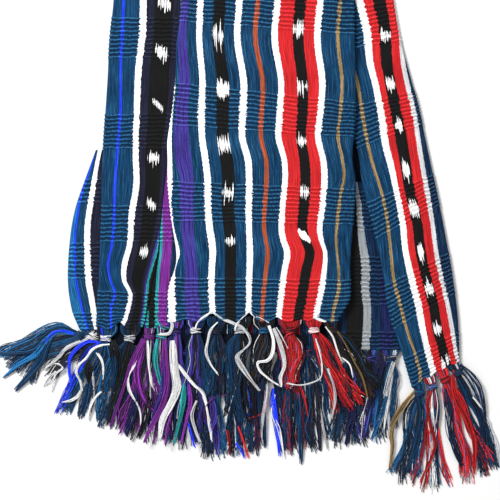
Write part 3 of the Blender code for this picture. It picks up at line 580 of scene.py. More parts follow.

# Hanks that wander from their tassels, laid over the rest: the places that each passes
Stray = namedtuple("Stray", "tassel colour yarns width route")
STRAYS = (
    Stray("back_left_2", "grey", 10, 1.8, ((97, 333), (84, 340), (68, 347), (60, 356), (51, 364),
                                           (45, 369))),
    Stray("back_left_2", "white", 5, 0.8, ((52, 364), (59, 364), (63, 368), (57, 373), (53, 381),
                                           (52, 390))),
    Stray("back_left_1", "teal", 30, 5.0, ((78, 333), (64, 329), (52, 334), (45, 346), (41, 360), (30, 375),
                                           (17, 389))),
    Stray("back_left_1", "light_teal", 14, 3.6, ((74, 333), (58, 331), (46, 341), (36, 354), (20, 364),
                                                 (5, 376))),
    Stray("back_left_1", "teal", 14, 3.0, ((70, 331), (56, 329), (45, 338), (33, 349), (16, 353),
                                           (1, 353))),
    Stray("back_left_1", "grey", 6, 1.8, ((56, 371), (50, 378), (44, 385))),
    Stray("back_left_1", "blue", 8, 1.5, ((75, 334), (66, 331), (57, 331), (50, 336), (45, 347),
                                          (43, 360))),
    Stray("left_1", "blue", 14, 2.0, ((101, 342), (89, 341), (78, 348), (71, 358), (70, 371), (73, 388))),
    Stray("left_1", "white", 11, 1.4, ((110, 344), (101, 345), (92, 350), (87, 358), (79, 365), (77, 373),
                                       (81, 382), (82, 390))),
    Stray("left_1", "shadow", 18, 4.4, ((90, 358), (88, 368), (90, 378), (94, 388))),
    Stray("left_1", "white", 9, 1.2, ((97, 352), (102, 360), (104, 370), (103, 384))),
    Stray("left_1", "grey", 7, 1.1, ((93, 371), (93, 379), (94, 389))),
    Stray("left_1", "white", 8, 1.1, ((82, 389), (78, 396), (71, 400), (63, 402))),
    Stray("left_1", "white", 9, 1.2, ((101, 391), (94, 400), (90, 410), (89, 419))),
    Stray("left_2", "shadow", 26, 6.0, ((113, 340), (115, 349), (118, 358), (118, 367))),
    Stray("left_2", "teal", 18, 3.2, ((104, 348), (113, 357), (115, 369), (113, 381), (107, 391))),
    Stray("channel_1", "magenta", 10, 1.6, ((143, 338), (133, 360), (127, 378), (120, 400), (111, 426))),
    Stray("channel_1", "magenta", 18, 3.6, ((146, 340), (139, 356), (137, 372), (141, 392), (149, 405),
                                            (158, 413))),
    Stray("channel_1", "white", 8, 1.1, ((140, 354), (135, 365), (129, 376), (130, 389), (137, 403),
                                         (141, 414), (141, 431))),
    Stray("channel_1", "white", 10, 1.8, ((148, 338), (149, 354), (150, 370), (154, 386), (162, 400))),
    Stray("channel_1", "indigo", 22, 5.0, ((136, 386), (135, 402), (131, 418), (126, 434))),
    Stray("channel_1", "plum", 18, 4.0, ((147, 390), (148, 405), (145, 420), (139, 436))),
    Stray("channel_2", "turquoise", 15, 2.6, ((158, 338), (156, 352), (157, 365), (161, 382), (164, 394))),
    Stray("front_1", "white", 11, 1.7, ((171, 319), (173, 326), (169, 333), (160, 334))),
    Stray("front_1", "turquoise", 7, 1.2, ((158, 321), (163, 327), (170, 328))),
    Stray("front_1", "magenta", 16, 3.0, ((165, 338), (166, 358), (168, 382), (163, 405), (152, 425),
                                          (145, 440))),
    Stray("front_1", "white", 26, 4.4, ((173, 340), (174, 352), (175, 368), (177, 386), (171, 403),
                                        (163, 420), (160, 438))),
    Stray("front_1", "turquoise", 16, 3.0, ((184, 382), (184, 398), (181, 414), (178, 428), (175, 442))),
    Stray("front_1", "magenta", 10, 2.0, ((190, 384), (191, 402), (186, 422), (182, 442))),
    Stray("front_1", "white", 9, 1.5, ((177, 362), (186, 374), (195, 384), (203, 392), (207, 402))),
    Stray("front_1", "magenta", 8, 1.8, ((172, 412), (168, 428), (166, 444))),
    Stray("front_2", "white", 6, 0.9, ((212, 311), (208, 314), (202, 318), (198, 323), (196, 328))),
    Stray("front_2", "white", 7, 1.3, ((203, 394), (207, 408), (210, 424), (212, 440))),
    Stray("front_2", "grey", 7, 1.5, ((197, 400), (192, 414), (195, 428), (200, 441))),
    Stray("front_2", "blue", 7, 1.8, ((188, 422), (192, 434), (195, 446))),
    Stray("front_2", "magenta", 4, 0.5, ((226, 394), (214, 398), (205, 408), (206, 420), (214, 428))),
    Stray("front_2", "purple", 14, 4.4, ((211, 396), (214, 408), (214, 420), (210, 430))),
    Stray("front_3", "white", 7, 1.0, ((213, 311), (216, 314), (219, 316), (226, 320), (234, 323))),
    Stray("front_3", "white", 6, 0.9, ((218, 322), (211, 330), (208, 340), (206, 352), (211, 364),
                                       (218, 374))),
    Stray("front_4", "white", 7, 1.0, ((249, 309), (247, 313), (242, 318), (237, 323), (235, 329))),
    Stray("front_4", "grey", 7, 1.2, ((222, 318), (231, 322), (242, 327), (248, 336), (249, 343),
                                      (243, 350))),
    Stray("front_4", "grey", 9, 2.3, ((243, 350), (237, 356), (241, 364), (250, 377), (259, 389))),
    Stray("front_5", "white", 7, 1.0, ((249, 309), (252, 313), (256, 316), (262, 319), (268, 322))),
    Stray("front_5", "white", 9, 1.5, ((269, 325), (273, 338), (273, 351), (268, 360), (258, 362),
                                       (260, 370), (269, 378), (279, 385))),
    Stray("front_6", "white", 13, 2.3, ((273, 328), (279, 341), (283, 354), (284, 366), (280, 376),
                                        (281, 385))),
    Stray("front_6", "white", 3, 0.4, ((276, 327), (281, 334), (287, 347))),
    Stray("front_7", "white", 10, 1.6, ((318, 312), (315, 317), (320, 320), (325, 321))),
    Stray("front_7", "white", 3, 0.4, ((315, 338), (320, 352), (322, 367), (320, 378), (309, 383),
                                       (298, 384), (287, 382))),
    Stray("front_7", "white", 5, 0.8, ((325, 326), (332, 336), (337, 350), (341, 360))),
    Stray("front_7", "grey", 7, 1.4, ((327, 368), (333, 384), (335, 400), (332, 416))),
    Stray("front_8", "white", 4, 0.5, ((341, 357), (349, 364), (352, 375))),
    Stray("front_8", "tan", 4, 0.6, ((337, 331), (345, 344), (354, 361), (362, 378), (367, 397))),
    Stray("back_2", "blue", 5, 0.9, ((204, 420), (211, 429), (218, 436))),
    Stray("back_3", "red", 9, 1.3, ((262, 384), (265, 398), (262, 412), (249, 418))),
    Stray("back_3", "red", 7, 1.5, ((227, 430), (229, 441), (230, 454))),
    Stray("back_3", "blue", 7, 1.8, ((236, 443), (241, 450), (244, 457))),
    Stray("back_4", "red", 5, 0.9, ((238, 426), (243, 440), (248, 456))),
    Stray("back_4", "blue", 12, 2.8, ((247, 384), (251, 394), (252, 406), (249, 416))),
    Stray("back_4", "deep_teal", 16, 4.4, ((265, 372), (262, 392), (262, 414), (265, 444))),
    Stray("back_4", "grey", 7, 1.4, ((268, 376), (266, 396), (263, 416), (262, 438))),
    Stray("back_5", "blue", 14, 3.4, ((273, 388), (273, 404), (276, 424), (279, 452))),
    Stray("back_5", "deep_teal", 12, 3.0, ((291, 388), (293, 406), (293, 424), (292, 446))),
    Stray("back_5", "white", 8, 1.4, ((275, 394), (272, 412), (279, 430), (284, 455))),
    Stray("back_6", "red", 6, 1.2, ((300, 386), (305, 400), (308, 417))),
    Stray("back_6", "teal", 18, 4.0, ((297, 392), (299, 412), (300, 436), (301, 461))),
    Stray("back_6", "plum", 16, 4.4, ((316, 380), (317, 402), (319, 424), (320, 448))),
    Stray("back_6", "grey", 8, 2.0, ((318, 398), (321, 414), (324, 430), (327, 447))),
    Stray("gap_1", "indigo", 16, 4.0, ((349, 396), (352, 412), (349, 428), (346, 444))),
    Stray("gap_2", "indigo", 26, 5.0, ((378, 348), (379, 362), (377, 378), (372, 396), (368, 414))),
    Stray("gap_2", "shadow", 18, 4.0, ((368, 350), (369, 366), (366, 384), (360, 404))),
    Stray("gap_3", "grey", 9, 1.9, ((396, 352), (392, 366), (388, 380), (383, 398))),
    Stray("gap_3", "light_teal", 8, 2.2, ((386, 396), (382, 412), (376, 426), (372, 439))),
    Stray("gap_3", "white", 5, 1.0, ((388, 400), (385, 414), (384, 430))),
    Stray("flap_1", "tan", 17, 2.5, ((415, 390), (404, 404), (395, 418), (391, 432), (392, 446),
                                     (390, 468))),
    Stray("flap_1", "teal", 16, 3.6, ((415, 391), (420, 408), (420, 426), (414, 450), (407, 472))),
    Stray("flap_2", "red", 10, 1.8, ((432, 390), (427, 404), (430, 424), (435, 444), (429, 462),
                                     (421, 480))),
    Stray("flap_2", "white", 5, 0.9, ((431, 407), (432, 413), (433, 419))),
    Stray("flap_2", "deep_teal", 20, 4.6, ((444, 388), (448, 408), (450, 430), (456, 450), (462, 466))),
    Stray("flap_3", "red", 20, 4.0, ((454, 370), (452, 386), (458, 404), (468, 424), (474, 444),
                                     (474, 470))),
    Stray("flap_4", "deep_teal", 14, 3.4, ((460, 364), (471, 376), (478, 388), (482, 406), (485, 428))),
    Stray("flap_4", "white", 5, 0.8, ((472, 397), (478, 403), (484, 411))),
)


def smooth(rows, column, down):
    """A column's values at places down the lie, on a smooth curve through the table's rows."""
    places = np.array([row.down for row in rows], float)
    values = np.array([getattr(row, column) for row in rows], float)
    slopes = np.empty_like(values)
    slopes[1:-1] = (values[2:] - values[:-2]) / (places[2:] - places[:-2])
    slopes[0] = (values[1] - values[0]) / (places[1] - places[0])
    slopes[-1] = (values[-1] - values[-2]) / (places[-1] - places[-2])
    k = np.clip(np.searchsorted(places, down, side="left") - 1, 0, len(rows) - 2)
    step = places[k + 1] - places[k]
    f = np.clip((down - places[k]) / step, 0.0, 1.0)
    start = (1 + 2 * f) * (1 - f) ** 2 * values[k] + f * (1 - f) ** 2 * step * slopes[k]
    return start + f * f * (3 - 2 * f) * values[k + 1] + f * f * (f - 1) * step * slopes[k + 1]


def edge(column, down):
    return smooth(EDGES, column, down)


def height(column, down):
    return np.interp(down, [row.down for row in HEIGHTS], [getattr(row, column) for row in HEIGHTS])


def pleat_top(across, down):
    left = height("b_left", down)
    return left + (B_RIGHT_HEIGHT - left) * across + PLEAT_CROWN * np.sin(np.pi * across) ** 2


def panel_top(across, down):
    right = height("c_right", down)
    z = C_LEFT_HEIGHT + (right - C_LEFT_HEIGHT) * across + np.sin(np.pi * across)
    for swell in SWELLS:
        ends = np.clip(np.minimum(down - swell.first, swell.last - down) / SWELL_FADE, 0.0, 1.0)
        near = np.clip(1 - ((across - swell.across) / swell.half_width) ** 2, 0.0, None)
        z = z + swell.height * near * near * ends
    return z


def flap_top(across, down):
    left = height("d_left", down)
    return left + (2 * FLAP_RADIUS - left) * across + height("d_crown", down) * np.sin(np.pi * across)


def channel_top(across, down):
    return CHANNEL_HEIGHT - CHANNEL_SAG * np.sin(np.pi * across) + 0 * down


def gap_top(across, down):
    return GAP_HEIGHT - GAP_SAG * np.sin(np.pi * across) + 0 * down


def back_left_top(across, down):
    crown = BACK_LEFT_HEIGHT + BACK_LEFT_CROWN * np.sin(np.pi * across) - BACK_LEFT_DROP * across ** 4
    return crown + 0 * down - BACK_LEFT_ROUND * np.clip(1 - across / BACK_LEFT_EDGE, 0.0, 1.0) ** 2


def flap_slant(down):
    """How far the right flap's cloth rises from its left edge to its right."""
    return FLAP_SLANT * np.clip((down - SLANT_FROM) / (FLAP_HEM - SLANT_FROM), 0.0, 1.0) ** SLANT_CURVE


# How far the lower stretches of cloth run on under the upper ones, and what parts them from their neighbours
CHANNEL_IN = 0.6
GAP_UNDER_PANEL = 5
GAP_UNDER_FLAP = 7
SEAM_GAP = 0.3

# A stretch of cloth: its edges and top as functions, which edges turn under, and the tables that hold for it
Stretch = namedtuple("Stretch", "name left right top turns radius hem end zones cloth lines bands marks flat")
STRETCHES = (
    Stretch("front_panel", lambda d: edge("c_left", d), lambda d: edge("c_right", d), panel_top, (True, True),
            TURN_RADIUS, FRONT_HEM, MID_FOLD, PANEL_ZONES, PANEL_CLOTH, PANEL_LINES, PANEL_BANDS, PANEL_MARKS,
            (0.19, 0.86)),
    Stretch("left_pleat", lambda d: edge("b_left", d), lambda d: edge("b_right", d), pleat_top, (True, False),
            TURN_RADIUS, LEFT_HEM, MID_FOLD, PLEAT_ZONES, PLEAT_CLOTH, PLEAT_LINES, PLEAT_BANDS, PLEAT_MARKS,
            (0.08, 0.87)),
    Stretch("right_flap", lambda d: edge("d_left", d), lambda d: edge("d_right", d), flap_top, (True, True),
            FLAP_RADIUS, FLAP_HEM, MID_FOLD, FLAP_ZONES, FLAP_CLOTH, FLAP_LINES, FLAP_BANDS, FLAP_MARKS,
            (0.085, 0.93)),
    Stretch("pleat_channel", lambda d: edge("b_right", d) + CHANNEL_IN, lambda d: edge("c_left", d) + TUCK,
            channel_top, (False, False), 0, CHANNEL_HEM, CHANNEL_TOP, PLEAT_ZONES[2:], CHANNEL_CLOTH,
            CHANNEL_LINES, CHANNEL_BANDS, (), (0.022, 0.178)),
    Stretch("back_end_gap", lambda d: edge("c_right", d) - GAP_UNDER_PANEL,
            lambda d: edge("d_left", d) + GAP_UNDER_FLAP, gap_top, (False, False), 0, GAP_HEM, GAP_TOP,
            GAP_ZONES, GAP_CLOTH, GAP_LINES, GAP_BANDS, (), (0.046, 0.17)),
    Stretch("back_end_left", lambda d: smooth(BACK_EDGE, "a_left", d),
            lambda d: edge("b_left", d) + height("shelf", d) - SEAM_GAP, back_left_top, (False, False), 0,
            LEFT_HEM, BACK_LEFT_TOP, BACK_LEFT_ZONES, BACK_LEFT_CLOTH, BACK_LEFT_LINES, BACK_LEFT_BANDS, (),
            (0.033, 0.182)),
)

# A row of points across a stretch: its place down the lie, its drop at a hem and its turn round the mid fold
Rows = namedtuple("Rows", "down drop turn")


def all_zones(stretch):
    """The table's zones, and those that follow above them up to the mid-length fold."""
    zones = list(stretch.zones)
    while zones[0].left_first > stretch.end:
        zones.insert(0, Zone(*(value - ZONE_PERIOD for value in zones[0])))
    return zones


def stretch_rows(stretch, zones):
    """Rows from the hem up, close together where the cloth is ribbed."""
    ribbed = [(min(z.left_first, z.right_first) - ZONE_FADE, max(z.left_last, z.right_last) + ZONE_FADE)
              for z in zones]
    down = stretch.hem - HEM_LIP[-1][0]
    places = []
    while down > stretch.end:
        places.append(down)
        inside = any(first <= down <= last for first, last in ribbed)
        near, far = (RIB_STEP, FAR_RIB_STEP) if inside else (SMOOTH_STEP, FAR_SMOOTH_STEP)
        down -= near if down > 0 else far
    places.append(stretch.end)
    lip_down = [stretch.hem - back for back, drop in HEM_LIP[:-1]]
    lip_drop = [drop for back, drop in HEM_LIP[:-1]]
    turns = []
    if stretch.end == MID_FOLD:
        turns = [math.pi / 2 * k / FOLD_STEPS for k in range(1, FOLD_STEPS + 1)]
    return Rows(
        np.array(lip_down + places + [MID_FOLD] * len(turns)),
        np.array(lip_drop + [0.0] * (len(places) + len(turns))),
        np.array([0.0] * (len(lip_down) + len(places)) + turns),
    )


def turned_columns(x, z, side, radius):
    """Points of a turned edge, tucked end first, with their places on the flat weave and the way out."""
    inward = -side
    ones = np.ones_like(x)[:, None]
    angle = np.radians(np.linspace(270, 90, ARC_STEPS + 1)[:-1])
    away = np.linspace(TUCK, 0, TUCK_STEPS + 1)[:-1]
    tuck_x = x[:, None] + inward * away
    tuck_z = (z - 2 * radius)[:, None] * np.ones_like(away)
    arc_x = x[:, None] + inward * radius * np.cos(angle)
    arc_z = (z - radius)[:, None] + radius * np.sin(angle)
    tuck_flat = x[:, None] - inward * (radius * math.pi + away)
    arc_flat = x[:, None] - inward * radius * (angle - math.pi / 2)
    shown = np.clip((np.sin(angle) + RELIEF_FADE) / RELIEF_FADE, 0.0, 1.0)
    out_x = np.concatenate([0 * away, inward * np.cos(angle) * shown]) * ones
    out_z = np.concatenate([0 * away, np.sin(angle) * shown]) * ones
    columns = [np.hstack([tuck_x, arc_x]), np.hstack([tuck_z, arc_z]), np.hstack([tuck_flat, arc_flat])]
    columns += [out_x, out_z]
    return columns if side < 0 else [values[:, ::-1] for values in columns]


def stretch_points(stretch, down):
    """Across, height, place on the flat weave, and the outward way, for each row and column of a stretch."""
    left, right = stretch.left(down), stretch.right(down)
    low = left + (stretch.radius if stretch.turns[0] else 0)
    high = right - (stretch.radius if stretch.turns[1] else 0)
    count = max(round(float(np.max(high - low)) / COLUMN_STEP), FEWEST_COLUMNS)
    across = np.linspace(0, 1, count + 1)[None, :]
    top_x = low[:, None] + (high - low)[:, None] * across
    top_z = stretch.top(across, down[:, None]) * np.ones_like(top_x)
    parts = [[top_x, top_z, top_x, 0 * top_x, 0 * top_x + 1]]
    if stretch.turns[0]:
        parts.insert(0, turned_columns(low, top_z[:, 0], -1, stretch.radius))
    if stretch.turns[1]:
        parts.append(turned_columns(high, top_z[:, -1], 1, stretch.radius))
    return [np.hstack([part[k] for part in parts]) for k in range(5)]


def place_on_weave(stretch, flat, seen_down):
    """Where a point lies across the flat weave, from the places of the stripes round it."""
    lines = stretch.lines
    names = [name for name in lines[0]._fields if name != "down"]
    at = np.clip(seen_down, lines[0].down, lines[-1].down)
    spots = np.stack([smooth(lines, name, at) for name in names])
    if stretch.end == MID_FOLD:
        above = np.clip(-seen_down, 0, None)
        middle = (stretch.left(seen_down) + stretch.right(seen_down)) / 2
        spots = spots + (middle - (stretch.left(0 * at) + stretch.right(0 * at)) / 2) * np.clip(above, 0, 1)
    cloth = [getattr(stretch.cloth, name) for name in names]
    weave = cloth[0] + (flat - spots[0])
    for k in range(len(names) - 1):
        share = (flat - spots[k]) / (spots[k + 1] - spots[k])
        weave = np.where(share > 0, cloth[k] + share * (cloth[k + 1] - cloth[k]), weave)
    return np.where(flat > spots[-1], cloth[-1] + (flat - spots[-1]), weave)


def rib_relief(zones, share, down):
    """Rise of the weft ribs from 0 to 1, how far the cloth is ribbed, and the swell of the gaps between."""
    rise, ribbed, gap = np.zeros_like(down), np.zeros_like(down), np.zeros_like(down)
    waver = sum(part * np.sin(share * across + down * along) for across, along, part in RIB_WAVES)
    down = down + RIB_WAVER * waver
    firsts = [z.left_first + (z.right_first - z.left_first) * share for z in zones]
    lasts = [z.left_last + (z.right_last - z.left_last) * share for z in zones]
    for first, last in zip(firsts, lasts):
        ribs = np.maximum(np.round((last - first).mean() / RIB_PITCH), 1)
        f = (down - first) / (last - first)
        inside = (f >= 0) & (f <= 1)
        rise = np.where(inside, 0.5 - 0.5 * np.cos(2 * np.pi * ribs * f), rise)
        fade = np.clip(np.minimum(down - first, last - down) / ZONE_FADE, 0, 1)
        ribbed = np.where(inside, fade, ribbed)
    for last, first in zip(lasts[:-1], firsts[1:]):
        f = np.clip((down - last) / (first - last), 0, 1)
        gap = np.maximum(gap, np.sin(np.pi * f))
    return rise, ribbed, gap


def hem_lift(stretch, across, down):
    """How far the hem's notches lift the cloth's points."""
    near = np.clip(1 - (stretch.hem - down) / NOTCH_RUN, 0.0, 1.0) ** 2
    lift = np.zeros_like(across)
    for notch in NOTCHES.get(stretch.name, ()):
        lift = np.maximum(lift, notch.depth * np.exp(-((across - notch.across) / notch.half_width) ** 2))
    return lift * near


def crease_relief(name, across, down):
    """Height that the hand-placed creases add."""
    total = np.zeros_like(across)
    for crease in CREASES:
        if crease.stretch != name:
            continue
        along_x, along_y = crease.to_across - crease.across, crease.to_down - crease.down
        length = math.hypot(along_x, along_y)
        f = ((across - crease.across) * along_x + (down - crease.down) * along_y) / length ** 2
        aside = ((across - crease.across) * along_y - (down - crease.down) * along_x) / length
        ends = np.clip(np.sin(np.pi * np.clip(f, 0, 1)), 0, 1) ** CREASE_ENDS
        total += crease.height * ends * np.exp(-(aside / crease.half_width) ** 2)
    return total


def marks_above(stripe, first):
    """Marks that follow above a stripe's first one, up to the mid-length fold."""
    count = int((first - MID_FOLD) // MARK_PERIOD)
    return [Mark(stripe, first - MARK_PERIOD * (k + 1), MARK_HALF_LENGTH + (k * 5) % 4, MARK_HALF_WIDTH,
                 MARK_LEAN * math.sin(k * 2.1), MARK_RAGGED) for k in range(count)]


def outside_marks(stretch, weave, down):
    """Distance outside the nearest white mark, for how ragged it is; below nought inside one."""
    nearest = np.full_like(weave, FAR_FROM_MARKS)
    marks = list(stretch.marks)
    for stripe in {mark.stripe for mark in marks}:
        marks += marks_above(stripe, min(mark.down for mark in marks if mark.stripe == stripe))
    for mark in marks:
        aside = (weave - mark.stripe) / mark.half_width
        lean = mark.lean * (weave - mark.stripe)
        beyond = np.abs(down - mark.down - lean) - mark.half_length
        distance = (beyond + MARK_ROUND * np.abs(aside) ** 4) / mark.ragged
        nearest = np.where(np.abs(aside) < MARK_REACH, np.minimum(nearest, distance), nearest)
    return nearest


def grid_mesh(name, points, rows, columns):
    """A mesh of rows and columns of points, facing up."""
    index = np.arange(rows * columns).reshape(rows, columns)
    faces = np.stack([index[:-1, :-1], index[:-1, 1:], index[1:, 1:], index[1:, :-1]], -1).reshape(-1, 4)
    mesh = bpy.data.meshes.new(name)
    mesh.from_pydata(points.reshape(-1, 3).tolist(), [], faces.tolist())
    mesh.shade_smooth()
    return mesh


def add_piece(name, mesh):
    item = bpy.data.objects.new(name, mesh)
    bpy.context.scene.collection.objects.link(item)
    return item


def weave_maps(mesh, weave, down, values):
    """The flat weave as the mesh's UV map, in millimetres, and named values on its points."""
    corner_points = np.zeros(len(mesh.loops), np.int32)
    mesh.loops.foreach_get("vertex_index", corner_points)
    flat = np.stack([weave.ravel(), down.ravel()], -1)[corner_points]
    mesh.uv_layers.new(name="weave").data.foreach_set("uv", flat.astype(np.float32).ravel())
    for name, numbers in values.items():
        layer = mesh.attributes.new(name, "FLOAT", "POINT")
        layer.data.foreach_set("value", numbers.astype(np.float32).ravel())


def puffs(stretch, weave):
    """How far the cloth swells between its white stripes, from 0 to 1."""
    whites = [first for first, colour in stretch.bands if colour in ("white", "grey")]
    puff = np.zeros_like(weave)
    for first, last in zip(whites[:-1], whites[1:]):
        between = (weave > first) & (weave < last)
        puff = np.where(between, np.sin(np.pi * (weave - first) / (last - first)), puff)
    return puff


def cloth_stretch(stretch):
    """A stretch of cloth as a fine shell, ribbed, puffed between its stripes and creased."""
    zones = all_zones(stretch)
    rows = stretch_rows(stretch, zones)
    across, z, flat, out_x, out_z = stretch_points(stretch, rows.down)
    left, right = across.min(1)[:, None], across.max(1)[:, None]
    share = (across - left) / (right - left)
    shift = flap_slant(rows.down)[:, None] * share if stretch.name == "right_flap" else 0 * share
    down = rows.down[:, None] + 0 * share
    seen_down = down - shift
    weave = place_on_weave(stretch, flat, seen_down)
    rise, ribbed, gap = rib_relief(zones, share, down)
    relief = RIB_RISE * rise + puffs(stretch, weave) * (PUFF * gap + RIBBED_PUFF)
    relief = relief + crease_relief(stretch.name, across, seen_down)
    relief = np.where(rows.turn[:, None] > 0, relief * np.cos(rows.turn)[:, None], relief)
    relief = relief * (rows.drop == 0)[:, None] - rows.drop[:, None]
    x = across + relief * out_x
    z = z + relief * out_z
    turn = rows.turn[:, None]
    points = np.stack([
        FIELD_X + x * MM,
        FIELD_Y + (hem_lift(stretch, across, down) - down + shift + z * np.sin(turn)) * MM,
        z * np.cos(turn) * MM,
    ], -1)
    mesh = grid_mesh(stretch.name + "_cloth", points, *across.shape)
    weave_down = down - turn * z
    values = {"crest": rise, "ribbed": ribbed, "outside_mark": outside_marks(stretch, weave, weave_down)}
    weave_maps(mesh, weave, weave_down, values)
    return add_piece(stretch.name + "_cloth", mesh)


def layer_lips(edge_x, outwards, layers, layer):
    """Rounded lips of the layers at one edge of the core, upwards on the left and downwards on the right."""
    angles = np.radians(np.linspace(-LIP_TURN, LIP_TURN, LIP_STEPS))
    numbers = range(layers)
    if outwards > 0:
        angles, numbers = angles[::-1], numbers[::-1]
    return [(edge_x - outwards * LAYER_NOTCH * (1 - math.cos(angle)),
             (number + 0.5 + 0.5 * math.sin(angle)) * layer)
            for number in numbers for angle in angles]


def core_section(down):
    """Outline of the folded-away layers, with a rounded lip for each at the edges."""
    shelf_x = float(edge("b_left", down) + height("shelf", down))
    wall_x = max(float(edge("b_left", down)) + SHELF_WALL, shelf_x + 1.5)
    right_x = float(edge("d_right", down)) - FLAP_TO
    b_right, c_left = float(edge("b_right", down)), float(edge("c_left", down))
    c_right, d_left = float(edge("c_right", down)), float(edge("d_left", down))
    left_top, mid_top = float(height("core_left", down)), float(height("core_mid", down))
    channel = min(CORE_CHANNEL, left_top)
    return [
        (shelf_x + 0.6, 0.0),
        *layer_lips(shelf_x, -1, 3, LEFT_LAYER),
        (wall_x - SHELF_SLOPE, SHELF_HEIGHT - 0.04),
        (wall_x, max(left_top - 1.2, SHELF_HEIGHT)),
        (wall_x + PLEAT_FROM, left_top),
        ((wall_x + b_right) / 2, left_top + 0.2),
        (b_right - PLEAT_TO, channel + 0.9 if left_top > 4 else left_top),
        (b_right - CHANNEL_FROM, channel),
        (c_left + CHANNEL_TO, channel),
        (c_left + PANEL_FROM, mid_top),
        ((c_left + c_right) / 2, mid_top + 0.4),
        (c_right - PANEL_TO, mid_top),
        (c_right - PANEL_FOOT, mid_top / 2),
        (c_right - GAP_FROM, CORE_LOW),
        (d_left + GAP_TO, CORE_LOW),
        (d_left + FLAP_FROM, CORE_RIGHT),
        (right_x - 2, CORE_RIGHT - 0.2),
        *layer_lips(right_x, 1, 2, LAYER),
        (right_x - 0.6, 0.0),
    ]


def folded_core():
    """The layers that are folded away, as one closed piece with layered edges."""
    places = sorted({*CORE_TURNS, *np.arange(BACK_HEM, MID_FOLD, -CORE_ROW_STEP)}, reverse=True)
    rows = [(down, 0.0) for down in places + [MID_FOLD]]
    rows += [(MID_FOLD, math.pi / 2 * k / FOLD_STEPS) for k in range(1, FOLD_STEPS + 1)]
    sections = [core_section(down) for down, turn in rows]
    columns = len(sections[0])
    points = [(FIELD_X + x * MM, FIELD_Y + (z * math.sin(turn) - down) * MM, z * math.cos(turn) * MM)
              for (down, turn), section in zip(rows, sections) for x, z in section]
    faces = []
    for r in range(len(rows) - 1):
        first, following = r * columns, (r + 1) * columns
        faces += [(first + k, first + k + 1, following + k + 1, following + k) for k in range(columns - 1)]
        faces.append((first + columns - 1, first, following, following + columns - 1))
    faces.append(tuple(range(columns))[::-1])
    faces.append(tuple(range((len(rows) - 1) * columns, len(rows) * columns)))
    mesh = bpy.data.meshes.new("folded_layers")
    mesh.from_pydata(points, [], faces)
    mesh.shade_smooth()
    mesh.set_sharp_from_angle(angle=math.radians(LAYER_SHARP_ANGLE))
    return add_piece("folded_layers", mesh)


def towards(heading):
    angle = np.radians(heading)
    return np.cos(angle), np.sin(angle)


def through(controls):
    """Points on a smooth curve through each yarn's control points."""
    count = controls.shape[1]
    at = np.linspace(0, count - 1, YARN_POINTS)
    k = np.minimum(at.astype(int), count - 2)
    f = (at - k)[None, :, None]
    before, after = controls[:, np.maximum(k - 1, 0)], controls[:, np.minimum(k + 2, count - 1)]
    start, end = controls[:, k], controls[:, k + 1]
    return 0.5 * (2 * start + (end - before) * f + (2 * before - 5 * start + 4 * end - after) * f ** 2
                  + (3 * start - before - 3 * end + after) * f ** 3)


def on_curve(places, values, at):
    """Values on a smooth curve through a few places."""
    Row = namedtuple("Row", "down value")
    return smooth([Row(p, v) for p, v in zip(places, values)], "value", at)


def head_points(tassel, side, up):
    """Control points from the hem, through the knot, to the neck, for yarns spread from side to side."""
    hem_out = tassel.hem_angle - 90
    half_turn = ((tassel.heading - hem_out + 180) % 360 - 180) / 2
    out_x, out_y = towards(hem_out)
    hem_x, hem_y = towards(hem_out + 90)
    knot_x, knot_y = towards(hem_out + half_turn)
    across_x, across_y = towards(hem_out + half_turn + 90)
    neck_x, neck_y = towards(tassel.heading)
    aside_x, aside_y = towards(tassel.heading + 90)
    half = min(KNOT_HALF_WIDTH, tassel.half_width)
    x, y = tassel.across, -tassel.down
    wide = side * tassel.half_width * HEM_SHARE
    knot, neck = side * half * KNOT_SHARE, side * half * NECK_SHARE
    knot_mid = (x + knot_x * KNOT_AT, y + knot_y * KNOT_AT)
    neck_mid = (knot_mid[0] + neck_x * (NECK_AT - KNOT_AT), knot_mid[1] + neck_y * (NECK_AT - KNOT_AT))
    back = BACK_RUN if tassel.name in UNDER_THE_FRONT else HEM_RUN
    back_z = BACK_RUN_HEIGHT if tassel.name in UNDER_THE_FRONT else tassel.hem_height
    return [
        np.stack([x - out_x * back + hem_x * wide, y - out_y * back + hem_y * wide,
                  back_z + BACK_THICKNESS * up], -1),
        np.stack([x + out_x * HEM_OUT + hem_x * wide, y + out_y * HEM_OUT + hem_y * wide,
                  tassel.hem_height - HEM_DROP + HEM_THICKNESS * up], -1),
        np.stack([knot_mid[0] + across_x * knot, knot_mid[1] + across_y * knot,
                  tassel.knot_height + KNOT_THICKNESS * up * np.sqrt(1 - KNOT_ROUND * side ** 2)], -1),
        np.stack([neck_mid[0] + aside_x * neck, neck_mid[1] + aside_y * neck,
                  tassel.knot_height - NECK_DROP + NECK_THICKNESS * up], -1),
    ], neck_mid, knot_mid, (across_x, across_y), (knot_x, knot_y)


def pile_height(down):
    """How high the yarns may lie: over the back end's tassels, and low past their tips."""
    return np.interp(down, PILE_DOWN, PILE_HEIGHT)


def hank_height(tassel, share):
    """Height of a tassel's lowest yarns, which come down from the knot to where they lie."""
    settle = np.clip(share * SETTLE_RATE, 0, 1) ** SETTLE_CURVE
    return tassel.knot_height + (tassel.lie - UNDER_LIE - tassel.knot_height) * settle


def belly_width(tassel, share):
    """How far the outer hanks part below the neck, at the belly and at the tips."""
    belly, tip = tassel.belly, tassel.tip
    return on_curve(BELLY_PLACES, (0.45 * belly, 0.9 * belly, belly, 0.43 * (belly + tip), tip), share)


